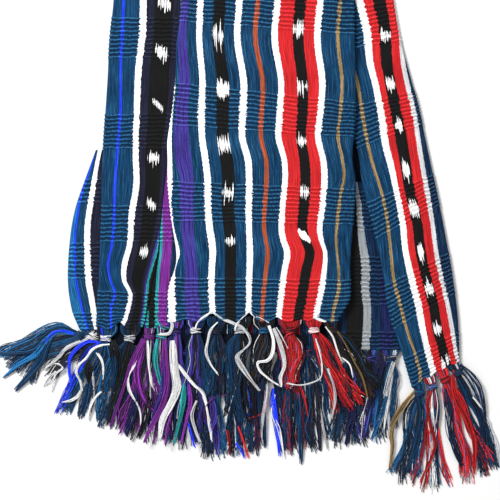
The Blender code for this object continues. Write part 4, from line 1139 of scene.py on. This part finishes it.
def loose_points(tassel, neck_mid, lean, side, up, length, rng):
    """Control points of loose yarns below the neck, which belly out, wave and splay at their tips."""
    share = np.linspace(0, 1, LOOSE_STEPS + 1)[1:]
    hanks = len(tassel.hanks.split())
    phase, rate, sway = rng.uniform(0, 2 * np.pi), rng.uniform(*SWAY_RATES), rng.uniform(*SWAYS)
    hank_half = tassel.belly / hanks * (0.9 + 0.5 * np.sin(np.pi * share)) + SPLAY * share ** 3
    heading = tassel.heading + rng.normal(0, HANK_TURN) + (tassel.bend + rng.normal(0, HANK_BEND)) * share
    step_x, step_y = towards(heading)
    run = length[:, None] / LOOSE_STEPS
    x = neck_mid[0] + np.cumsum(step_x[None, :] * run, 1)
    y = neck_mid[1] + np.cumsum(step_y[None, :] * run, 1)
    wave = sway * np.sin(2 * np.pi * rate * share + phase) * np.sin(np.pi * np.clip(share, 0, SWAY_END))
    aside = lean * belly_width(tassel, share) + wave
    aside = aside[None, :] + side[:, None] * hank_half[None, :]
    aside = aside + rng.normal(0, YARN_STRAYS, (len(side), LOOSE_STEPS)) * (0.4 + share)[None, :]
    side_x, side_y = towards(heading + 90)
    x, y = x + side_x * aside, y + side_y * aside
    level = rng.uniform(0.0, 1.0)
    pile = (LEVEL_STEP * level + YARN_LIFT * up[:, None]) * (1 - 0.5 * share) + HUMP * np.sin(np.pi * share)
    low = hank_height(tassel, share)
    z = np.minimum(low[None, :] + pile, pile_height(-y) + 0.8 * up[:, None])
    z = np.maximum(z, YARN_RADIUS + 0.15 + FLOOR_GAP * (1 + up[:, None]))
    return [np.stack([x[:, k], y[:, k], z[:, k]], -1) for k in range(LOOSE_STEPS)]


def knot_wraps(tassel, knot_mid, across, along, rng):
    """Yarns wound over the knot."""
    turn = np.linspace(WRAP_TURNS[0] * np.pi, WRAP_TURNS[1] * np.pi, WRAP_POINTS)
    half = min(KNOT_HALF_WIDTH, tassel.half_width) + WRAP_OUT
    wraps = []
    for k in range(WRAPS):
        lean = WRAP_SPREAD * (2 * k / (WRAPS - 1) - 1) + rng.uniform(-WRAP_WANDER, WRAP_WANDER)
        ahead = lean + rng.uniform(-WRAP_SLANT, WRAP_SLANT) * np.cos(turn)
        round_off = math.sqrt(1 - (lean / WRAP_ROUND) ** 2)
        aside = half * round_off * np.cos(turn)
        up = (KNOT_HALF_HEIGHT + WRAP_OVER) * round_off * np.sin(turn)
        wraps.append(np.stack([
            knot_mid[0] + across[0] * aside + along[0] * ahead,
            knot_mid[1] + across[1] * aside + along[1] * ahead,
            np.maximum(tassel.knot_height + WRAP_LIFT + up, YARN_RADIUS + FLOOR_GAP),
        ], -1))
    return np.stack(wraps)


def stray_height(tassel, route, share):
    """Height of a wandering hank, over the rest of its tassel."""
    away = np.hypot(route[:, 0] - tassel.across, route[:, 1] - tassel.down)
    hanks = hank_height(tassel, (away - NECK_AT) / tassel.length)
    over = np.maximum(tassel.lie + OVER_LIE, hanks + OVER_HANKS)
    over = np.minimum(over, pile_height(route[:, 1]) + OVER_PILE)
    if tassel.lie > LOW_LIE:
        over = np.maximum(over, np.interp(route[:, 1], CLIMB_DOWN, CLIMB_HEIGHT))
    else:
        over = over + (STRAY_TIP - over) * share ** 5
    if route[0, 1] > FRONT_HEM + 4:
        over = over - STRAY_TUCK * (1 - share) ** 6
    return over


def stray_points(tassel, stray, rng):
    """Yarns of a hank along a given route, over the rest of its tassel."""
    route = np.array(stray.route, float)
    along = np.gradient(route, axis=0)
    aside = np.stack([along[:, 1], -along[:, 0]], -1)
    aside /= np.linalg.norm(aside, axis=1)[:, None]
    last = rng.uniform(-STRAY_ENDS, STRAY_ENDS, stray.yarns)
    share = np.linspace(0, 1, len(route))
    turn = rng.uniform(0, 2 * np.pi, (stray.yarns, 1)) + HANK_TWIST * share[None, :]
    out = np.sqrt(rng.uniform(0.1, 1.0, (stray.yarns, 1)))
    side, up = out * np.cos(turn), out * np.sin(turn)
    taper = (0.75 - 0.4 * share ** 2 + 0.3 * np.sin(np.pi * share)) * np.minimum(0.6 + 2.0 * share, 1.0)
    wander = rng.normal(0, STRAY_WANDER, (stray.yarns, len(share)))
    offset = side * stray.width * taper[None, :] + wander
    x = route[None, :, 0] + offset * aside[None, :, 0]
    y = -route[None, :, 1] - offset * aside[None, :, 1]
    x[:, -1] += last * along[-1, 0]
    y[:, -1] -= last * along[-1, 1]
    over = stray_height(tassel, route, share)
    z = np.maximum(over[None, :] + YARN_LIFT * up, YARN_RADIUS + FLOOR_GAP)
    return np.stack([x, y, z], -1)


def linear_colour(word):
    """A colour word's value in the renderer's own scale."""
    part = np.array(SHADES[word]) / 255
    return np.where(part <= 0.04045, part / 12.92, ((part + 0.055) / 1.055) ** 2.4)


# How light the yarns of one dye are beside each other: tone that varies at random, with painted shade on the
# darkest and painted highlight on the lightest
YARN_TONES_AND_PAINTED_LIGHT = (0.2, 0.45, 0.7, 0.9, 1.1, 1.5, 2.1)
# Pale yarns take a narrower range of it
PALE_TONES_AND_PAINTED_LIGHT = (0.72, 1.05)
TINT_RANGE = (0.85, 1.15)
# Single yarns of other dyes, and near-black yarns of painted shade, strewn through every hank
SPRINKLED = ("white", "light_teal", "teal", "light_teal", "shadow", "deep_teal")
SPRINKLE = 0.12


def tassel_yarns(tassel, seed):
    """Every yarn of a tassel as rows of points, with a colour for each yarn."""
    rng = np.random.default_rng(seed)
    words = tassel.hanks.split()
    groups, colours = [], []
    for number, word in enumerate(words):
        lean = -1 + 2 * (number + 0.5) / len(words)
        side = np.sort(rng.uniform(-1, 1, YARNS_IN_HANK))
        up = rng.uniform(-1, 1, YARNS_IN_HANK)
        length = tassel.length * rng.uniform(*HANK_LENGTHS) * rng.uniform(*YARN_LENGTHS, YARNS_IN_HANK)
        spread = np.clip(lean + side / len(words), -1, 1)
        head, neck_mid, knot_mid, across, along = head_points(tassel, spread, up)
        loose = loose_points(tassel, neck_mid, lean, side, up, length, rng)
        groups.append(through(np.stack(head + loose, 1)))
        colours += [rng.choice(SPRINKLED) if rng.random() < SPRINKLE else word for k in range(YARNS_IN_HANK)]
    groups.append(through(knot_wraps(tassel, knot_mid, across, along, rng)))
    wound = KNOT_COLOURS.get(tassel.name, words[1])
    colours += [wound if k % 3 else words[k % len(words)] for k in range(WRAPS)]
    for stray in STRAYS:
        if stray.tassel == tassel.name:
            groups.append(through(stray_points(tassel, stray, rng)))
            colours += [stray.colour] * stray.yarns
    tones_and_painted_light = rng.choice(YARN_TONES_AND_PAINTED_LIGHT, len(colours)) * rng.uniform(*TINT_RANGE, len(colours))
    pale = np.array([word in ("white", "grey") for word in colours])
    tones_and_painted_light = np.where(pale, np.clip(tones_and_painted_light, *PALE_TONES_AND_PAINTED_LIGHT), tones_and_painted_light)
    shades = np.array([linear_colour(word) for word in colours]) * tones_and_painted_light[:, None]
    return np.concatenate(groups), shades


def yarn_tree():
    """Geometry nodes that lay a yarn along each line of a mesh."""
    tree = bpy.data.node_groups.new("yarns_along_lines", "GeometryNodeTree")
    face = tree.interface
    face.new_socket("Geometry", in_out="INPUT", socket_type="NodeSocketGeometry")
    for name, kind in (("Yarn radius", "NodeSocketFloat"), ("Yarn sides", "NodeSocketInt"),
                       ("Cotton", "NodeSocketMaterial")):
        face.new_socket(name, in_out="INPUT", socket_type=kind)
    face.new_socket("Geometry", in_out="OUTPUT", socket_type="NodeSocketGeometry")
    nodes, links = tree.nodes, tree.links
    start, end = nodes.new("NodeGroupInput"), nodes.new("NodeGroupOutput")
    lines = nodes.new("GeometryNodeMeshToCurve")
    ring = nodes.new("GeometryNodeCurvePrimitiveCircle")
    tube = nodes.new("GeometryNodeCurveToMesh")
    real = nodes.new("GeometryNodeRealizeInstances")
    cotton = nodes.new("GeometryNodeSetMaterial")
    tube.inputs["Fill Caps"].default_value = True
    links.new(start.outputs["Geometry"], lines.inputs["Mesh"])
    links.new(start.outputs["Yarn radius"], ring.inputs["Radius"])
    links.new(start.outputs["Yarn sides"], ring.inputs["Resolution"])
    links.new(lines.outputs["Curve"], tube.inputs["Curve"])
    links.new(ring.outputs["Curve"], tube.inputs["Profile Curve"])
    links.new(tube.outputs["Mesh"], real.inputs["Geometry"])
    links.new(real.outputs["Geometry"], cotton.inputs["Geometry"])
    links.new(start.outputs["Cotton"], cotton.inputs["Material"])
    links.new(cotton.outputs["Geometry"], end.inputs["Geometry"])
    return tree


def set_input(modifier, name, value):
    for item in modifier.node_group.interface.items_tree:
        if item.in_out == "INPUT" and item.name == name:
            modifier[item.identifier] = value


def tassel_piece(tassel, seed, tree, cotton):
    """A knotted tassel of loose yarns."""
    yarns, shades = tassel_yarns(tassel, seed)
    count, length = yarns.shape[:2]
    points = yarns.reshape(-1, 3) * MM
    points[:, 0] += FIELD_X
    points[:, 1] += FIELD_Y
    index = np.arange(count * length).reshape(count, length)
    edges = np.stack([index[:, :-1], index[:, 1:]], -1).reshape(-1, 2)
    lines = bpy.data.meshes.new(tassel.name + "_lines")
    lines.from_pydata(points.tolist(), edges.tolist(), [])
    layer = lines.attributes.new("yarn_colour", "FLOAT_COLOR", "POINT")
    rgba = np.ones((count, length, 4), np.float32)
    rgba[:, :, :3] = shades[:, None, :]
    layer.data.foreach_set("color", rgba.ravel())
    item = add_piece("tassel_" + tassel.name + "_yarns", lines)
    modifier = item.modifiers.new("yarns", "NODES")
    modifier.node_group = tree
    set_input(modifier, "Yarn radius", YARN_RADIUS * MM)
    set_input(modifier, "Yarn sides", YARN_SIDES)
    set_input(modifier, "Cotton", cotton)
    evaluated = item.evaluated_get(bpy.context.evaluated_depsgraph_get())
    mesh = bpy.data.meshes.new_from_object(evaluated)
    mesh.name = item.name
    item.modifiers.clear()
    item.data = mesh
    bpy.data.meshes.remove(lines)
    mesh.shade_smooth()
    return item


def new_material(name):
    material = bpy.data.materials.new(name)
    material.use_nodes = True
    nodes = material.node_tree.nodes
    shader = nodes["Principled BSDF"]
    return material, nodes, material.node_tree.links, shader


def maths(nodes, links, operation, first, second=None, third=None):
    """A Math node's result, of linked sockets or plain numbers."""
    node = nodes.new("ShaderNodeMath")
    node.operation = operation
    for socket, value in zip(node.inputs, (first, second, third)):
        if value is None:
            continue
        if isinstance(value, (int, float)):
            socket.default_value = value
        else:
            links.new(value, socket)
    return node.outputs[0]


def noise(nodes, links, x, y, detail, roughness):
    """Noise on a pair of coordinates, from 0 to 1."""
    vector = nodes.new("ShaderNodeCombineXYZ")
    links.new(x, vector.inputs[0])
    links.new(y, vector.inputs[1])
    node = nodes.new("ShaderNodeTexNoise")
    node.noise_dimensions = "2D"
    node.inputs["Scale"].default_value = 1.0
    node.inputs["Detail"].default_value = detail
    node.inputs["Roughness"].default_value = roughness
    links.new(vector.outputs[0], node.inputs["Vector"])
    return node.outputs["Fac"]


def attribute(nodes, name):
    node = nodes.new("ShaderNodeAttribute")
    node.attribute_name = name
    return node.outputs["Fac"]


def mixed(nodes, links, blend, factor, first, second):
    """A colour mix; factor, first and second are sockets or values."""
    node = nodes.new("ShaderNodeMix")
    node.data_type = "RGBA"
    node.blend_type = blend
    for index, value in ((0, factor), (6, first), (7, second)):
        if hasattr(value, "node"):
            links.new(value, node.inputs[index])
        else:
            node.inputs[index].default_value = value
    return node.outputs[2]


# How strongly the threads' tone and the ribs' painted shade and highlight show on a stripe; the rest take
# them whole
TONE_AND_PAINTED_SHADE_STRENGTH = {
    "white": 0.3, "grey": 0.4, "white_in_painted_shade": 0.5, "red": 0.5, "orange": 0.75, "purple": 0.75, "magenta": 0.7,
    "black": 0.4, "plum": 0.55,
}
# Painted highlight, mixed into the colour where the ribs' crests and the threads catch the light: its colour,
# and how much of it each stretch has
PAINTED_GLINT = (0.16, 0.4, 0.52, 1.0)
PAINTED_GLINT_SHARE = {
    "front_panel": 0.72, "left_pleat": 0.5, "right_flap": 0.55, "pleat_channel": 0.6, "back_end_gap": 0.25,
    "back_end_left": 0.6,
}
# Noises over the weave: how fast each changes across it and down it, its detail and its roughness
FRAY_GRAIN = (0.35, 0.42, 1.0, 0.5)
THREAD_GRAIN = (1.5, 0.03, 3.0, 0.75)
PATCH_GRAIN = (0.06, 0.03, 2.0, 0.5)
RIB_GRAIN = (0.55, 0.24, 3.0, 0.65)
MARK_GRAIN = (0.72, 0.02, 1.5, 0.6)
# The factor and offset that turn a noise or a place into a fray, a tone, the ribs' painted light and shade,
# or a painted glint
FRAY_REACH = (2.6, 1.3)
THREAD_LIGHT = (5.6, -1.75)
RIB_LIGHT = (2.0, 0.0)
CREST_LIGHT = (1.9, 0.5)
PATCH_LIGHT = (0.5, 0.75)
RIB_GLINT = (3.0, -0.95)
THREAD_GLINT = (3.2, -1.75)
DEPTH_GLINT = (0.95, -0.35)
LEAST_LIGHT = 0.3
CREST_SHARPNESS = 3.0
GLINT_SHARPNESS = 6.0
# White marks: where their ragged ends are cut, how far those reach, which stripes are dark enough to bear
# them, and their least light
MARK_MIDDLE = 0.47
MARK_REACH_OUT = 3.6
DARK_STRIPE = 0.009
MARK_LIGHT = 0.75


def stripe_ramp(nodes, links, weave, bands):
    """The warp's stripes over the flat weave. Alpha holds how strongly a stripe takes its threads' tone and
    the ribs' painted shade and highlight.
    """
    first, last = bands[1][0] - 10.0, bands[-1][0] + 10.0
    place = maths(nodes, links, "DIVIDE", maths(nodes, links, "SUBTRACT", weave, first), last - first)
    ramp = nodes.new("ShaderNodeValToRGB")
    ramp.color_ramp.interpolation = "CONSTANT"
    stops = ramp.color_ramp.elements
    while len(stops) > 1:
        stops.remove(stops[-1])
    for number, (start, word) in enumerate(bands):
        stop = stops[0] if number == 0 else stops.new(max((start - first) / (last - first), 0.0))
        stop.position = max((start - first) / (last - first), 0.0)
        stop.color = (*linear_colour(word), TONE_AND_PAINTED_SHADE_STRENGTH.get(word, 1.0))
    links.new(place, ramp.inputs["Fac"])
    return ramp.outputs["Color"], ramp.outputs["Alpha"]


def grain(nodes, links, weave, down, across_rate, down_rate, detail, roughness):
    """Noise over the flat weave, drawn out along its yarns."""
    x = maths(nodes, links, "MULTIPLY", weave, across_rate)
    y = maths(nodes, links, "MULTIPLY", down, down_rate)
    return noise(nodes, links, x, y, detail, roughness)


def frayed_stripes(nodes, links, weave, down, ribbed, bands):
    """The stripes with ragged edges, and how strongly each takes its threads' tone and the ribs' painted
    shade and highlight.
    """
    ragged = maths(nodes, links, "SUBTRACT", grain(nodes, links, weave, down, *FRAY_GRAIN), 0.5)
    reach = maths(nodes, links, "MULTIPLY_ADD", ribbed, *FRAY_REACH)
    jitter = maths(nodes, links, "MULTIPLY", ragged, reach)
    return stripe_ramp(nodes, links, maths(nodes, links, "ADD", weave, jitter), bands)


def thread_shading(nodes, links, threads, rib_threads, patches, crest, ribbed, depth):
    """Tone of the threads and patches, and painted light on the ribs, lighter at their crests and darker in
    their grooves, as a factor on the stripes' colours.
    """
    thread_light = maths(nodes, links, "MULTIPLY_ADD", threads, *THREAD_LIGHT)
    thread_light = maths(nodes, links, "MAXIMUM", thread_light, LEAST_LIGHT)
    rib_light = maths(nodes, links, "MULTIPLY_ADD", rib_threads, *RIB_LIGHT)
    # Painted highlight on the ribs' crests and painted shade in their grooves
    crests = maths(nodes, links, "POWER", crest, CREST_SHARPNESS)
    crest_light = maths(nodes, links, "MULTIPLY_ADD", crests, *CREST_LIGHT)
    rib_light = maths(nodes, links, "MULTIPLY", rib_light, crest_light)
    change = maths(nodes, links, "SUBTRACT", rib_light, thread_light)
    light = maths(nodes, links, "MULTIPLY_ADD", change, ribbed, thread_light)
    patch_light = maths(nodes, links, "MULTIPLY_ADD", patches, *PATCH_LIGHT)
    light = maths(nodes, links, "MULTIPLY", light, patch_light)
    shade = maths(nodes, links, "SUBTRACT", light, 1.0)
    return maths(nodes, links, "MULTIPLY_ADD", shade, depth, 1.0)


def white_marks(nodes, links, weave, down, stripe, light):
    """The stripes' colour and light with the resist-dyed white marks laid in the dark stripes."""
    yarns = maths(nodes, links, "SUBTRACT", grain(nodes, links, weave, down, *MARK_GRAIN), MARK_MIDDLE)
    outside = attribute(nodes, "outside_mark")
    outside = maths(nodes, links, "MULTIPLY_ADD", yarns, MARK_REACH_OUT, outside)
    inside = maths(nodes, links, "LESS_THAN", outside, 0.0)
    luminance = nodes.new("ShaderNodeRGBToBW")
    links.new(stripe, luminance.inputs[0])
    dark = maths(nodes, links, "LESS_THAN", luminance.outputs[0], DARK_STRIPE)
    inside = maths(nodes, links, "MULTIPLY", inside, dark)
    colour = mixed(nodes, links, "MIX", inside, stripe, (*linear_colour("white"), 1.0))
    mark_light = maths(nodes, links, "MULTIPLY", inside, MARK_LIGHT)
    return colour, maths(nodes, links, "MAXIMUM", light, mark_light)


def painted_crest_glint(nodes, links, threads, rib_threads, crest, ribbed, depth, glint_share):
    """How strongly the painted highlight lies on the ribs' crests and on the smooth part's threads."""
    rib_glint = maths(nodes, links, "MULTIPLY_ADD", rib_threads, *RIB_GLINT)
    crests = maths(nodes, links, "POWER", crest, GLINT_SHARPNESS)
    rib_glint = maths(nodes, links, "MULTIPLY", crests, rib_glint)
    thread_glint = maths(nodes, links, "MULTIPLY_ADD", threads, *THREAD_GLINT)
    thread_glint = maths(nodes, links, "MAXIMUM", thread_glint, 0.0)
    smooth_part = maths(nodes, links, "SUBTRACT", 1.0, ribbed)
    thread_glint = maths(nodes, links, "MULTIPLY", thread_glint, smooth_part)
    glint = maths(nodes, links, "ADD", rib_glint, thread_glint)
    depth_share = maths(nodes, links, "MULTIPLY_ADD", depth, *(part * glint_share for part in DEPTH_GLINT))
    glint = maths(nodes, links, "MULTIPLY", glint, depth_share)
    return maths(nodes, links, "MAXIMUM", glint, 0.0)


def bumped(nodes, links, shader, relief, strength, distance):
    """Small relief of the threads in the shading."""
    bump = nodes.new("ShaderNodeBump")
    bump.inputs["Strength"].default_value = strength
    bump.inputs["Distance"].default_value = distance * MM
    links.new(relief, bump.inputs["Height"])
    links.new(bump.outputs[0], shader.inputs["Normal"])


def brightened(nodes, links, colour, light):
    """A colour times a light."""
    shaded = nodes.new("ShaderNodeVectorMath")
    shaded.operation = "SCALE"
    links.new(colour, shaded.inputs[0])
    links.new(light, shaded.inputs["Scale"])
    return shaded.outputs[0]


def striped_cotton(name, bands, has_marks, glint_share):
    """Handwoven warp-striped cotton on a stretch's own weave map, with painted shade and highlight on its
    ribs.
    """
    material, nodes, links, shader = new_material(name)
    uv = nodes.new("ShaderNodeUVMap")
    uv.uv_map = "weave"
    split = nodes.new("ShaderNodeSeparateXYZ")
    links.new(uv.outputs[0], split.inputs[0])
    weave, down = split.outputs[0], split.outputs[1]
    crest, ribbed = attribute(nodes, "crest"), attribute(nodes, "ribbed")
    colour, depth = frayed_stripes(nodes, links, weave, down, ribbed, bands)
    threads = grain(nodes, links, weave, down, *THREAD_GRAIN)
    patches = grain(nodes, links, weave, down, *PATCH_GRAIN)
    rib_threads = grain(nodes, links, weave, down, *RIB_GRAIN)
    light = thread_shading(nodes, links, threads, rib_threads, patches, crest, ribbed, depth)
    if has_marks:
        colour, light = white_marks(nodes, links, weave, down, colour, light)
    shaded = brightened(nodes, links, colour, light)
    glint = painted_crest_glint(nodes, links, threads, rib_threads, crest, ribbed, depth, glint_share)
    # The painted highlight is mixed into the base colour
    links.new(mixed(nodes, links, "MIX", glint, shaded, PAINTED_GLINT), shader.inputs["Base Color"])
    relief = maths(nodes, links, "MULTIPLY_ADD", rib_threads, 0.5, threads)
    bumped(nodes, links, shader, relief, 0.5, 0.5)
    shader.inputs["Roughness"].default_value = 0.7
    shader.inputs["Sheen Weight"].default_value = 0.015
    shader.inputs["Sheen Roughness"].default_value = 0.4
    shader.inputs["Specular IOR Level"].default_value = 0.12
    return material


def painted_shade_layer_cotton():
    """Cotton of the layers that are folded away, painted near-black as shade, streaked along its yarns."""
    material, nodes, links, shader = new_material("painted_shade_layer_cotton")
    place = nodes.new("ShaderNodeTexCoord")
    stretch = nodes.new("ShaderNodeMapping")
    stretch.inputs["Scale"].default_value = (900.0, 30.0, 900.0)
    links.new(place.outputs["Object"], stretch.inputs["Vector"])
    streaks = nodes.new("ShaderNodeTexNoise")
    streaks.inputs["Scale"].default_value = 1.0
    streaks.inputs["Detail"].default_value = 2.0
    links.new(stretch.outputs[0], streaks.inputs["Vector"])
    ramp = nodes.new("ShaderNodeValToRGB")
    ramp.color_ramp.elements[0].position = 0.3
    ramp.color_ramp.elements[0].color = (*linear_colour("shadow"), 1.0)
    ramp.color_ramp.elements[1].position = 0.75
    ramp.color_ramp.elements[1].color = (*linear_colour("layer_in_painted_shade"), 1.0)
    links.new(streaks.outputs["Fac"], ramp.inputs["Fac"])
    links.new(ramp.outputs["Color"], shader.inputs["Base Color"])
    bumped(nodes, links, shader, streaks.outputs["Fac"], 0.5, 0.3)
    shader.inputs["Roughness"].default_value = 0.85
    shader.inputs["Specular IOR Level"].default_value = 0.1
    return material


def yarn_cotton():
    """Loose dyed cotton yarn, in each yarn's own colour."""
    material, nodes, links, shader = new_material("yarn_cotton")
    dye = nodes.new("ShaderNodeAttribute")
    dye.attribute_name = "yarn_colour"
    place = nodes.new("ShaderNodeTexCoord")
    fibres = nodes.new("ShaderNodeTexNoise")
    fibres.inputs["Scale"].default_value = 700.0
    fibres.inputs["Detail"].default_value = 2.0
    links.new(place.outputs["Object"], fibres.inputs["Vector"])
    tint = maths(nodes, links, "MULTIPLY_ADD", fibres.outputs["Fac"], 0.9, 0.55)
    links.new(brightened(nodes, links, dye.outputs["Color"], tint), shader.inputs["Base Color"])
    bumped(nodes, links, shader, fibres.outputs["Fac"], 0.4, 0.2)
    shader.inputs["Roughness"].default_value = 0.5
    shader.inputs["Sheen Weight"].default_value = 0.015
    shader.inputs["Specular IOR Level"].default_value = 0.3
    return material


# The floor, the light and the camera, in metres
FLOOR_HALF = 4.0
FLOOR_LEVEL = -0.0002
LIGHT_AIM = (0.25, -0.2)
LIGHT_PLACE = (-1.3, 1.15, 1.75)
CAMERA_HEIGHT = 2.0
SENSOR_WIDTH = 36.0


def pale_floor():
    """A plain pale floor under the shawl."""
    corners = [(x * FLOOR_HALF, y * FLOOR_HALF, FLOOR_LEVEL) for x, y in ((-1, -1), (1, -1), (1, 1), (-1, 1))]
    mesh = bpy.data.meshes.new("floor")
    mesh.from_pydata(corners, [], [(0, 1, 2, 3)])
    floor = add_piece("floor", mesh)
    material, nodes, links, shader = new_material("pale_floor")
    shader.inputs["Base Color"].default_value = (0.93, 0.93, 0.93, 1.0)
    shader.inputs["Roughness"].default_value = 0.9
    mesh.materials.append(material)


def soft_light():
    """Soft studio light from the upper left, and a pale surround."""
    world = bpy.data.worlds.new("studio")
    world.use_nodes = True
    background = world.node_tree.nodes["Background"]
    background.inputs["Color"].default_value = (1.0, 1.0, 1.0, 1.0)
    background.inputs["Strength"].default_value = 0.55
    bpy.context.scene.world = world
    light = bpy.data.lights.new("softbox", "AREA")
    light.shape = "DISK"
    light.size = 0.9
    light.energy = 62.0
    lamp = bpy.data.objects.new("softbox", light)
    centre = np.array([FIELD_X + LIGHT_AIM[0], FIELD_Y + LIGHT_AIM[1], 0.0])
    place = centre + np.array(LIGHT_PLACE)
    lamp.location = place
    aim = centre - place
    lamp.rotation_euler = (
        math.atan2(math.hypot(aim[0], aim[1]), -aim[2]), 0.0, math.atan2(aim[1], aim[0]) - math.pi / 2,
    )
    bpy.context.scene.collection.objects.link(lamp)
    bpy.context.scene.view_settings.view_transform = "Standard"


def overhead_camera():
    """The camera looks straight down on the half-metre field."""
    data = bpy.data.cameras.new("camera")
    data.sensor_width = SENSOR_WIDTH
    data.lens = data.sensor_width * CAMERA_HEIGHT / (FIELD * MM)
    camera = bpy.data.objects.new("camera", data)
    camera.location = (FIELD_X + FIELD / 2 * MM, FIELD_Y - FIELD / 2 * MM, CAMERA_HEIGHT)
    bpy.context.scene.collection.objects.link(camera)
    bpy.context.scene.camera = camera


def dress():
    """Makes every piece, gives it its finish and hands it to the frame."""
    core = folded_core()
    core.data.materials.append(painted_shade_layer_cotton())
    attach(core, "root")
    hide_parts("folded_core")
    tree, cotton = yarn_tree(), yarn_cotton()
    for seed, tassel in enumerate(TASSELS):
        piece = tassel_piece(tassel, FIRST_SEED + seed, tree, cotton)
        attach(piece, "root")
        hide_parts("tassel_" + tassel.name)
    for stretch in STRETCHES:
        cloth = cloth_stretch(stretch)
        glint_share = PAINTED_GLINT_SHARE[stretch.name]
        stripes = striped_cotton(stretch.name + "_stripes", stretch.bands, bool(stretch.marks), glint_share)
        cloth.data.materials.append(stripes)
        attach(cloth, "root")
        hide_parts(stretch.name)


dress()
pale_floor()
soft_light()
overhead_camera()
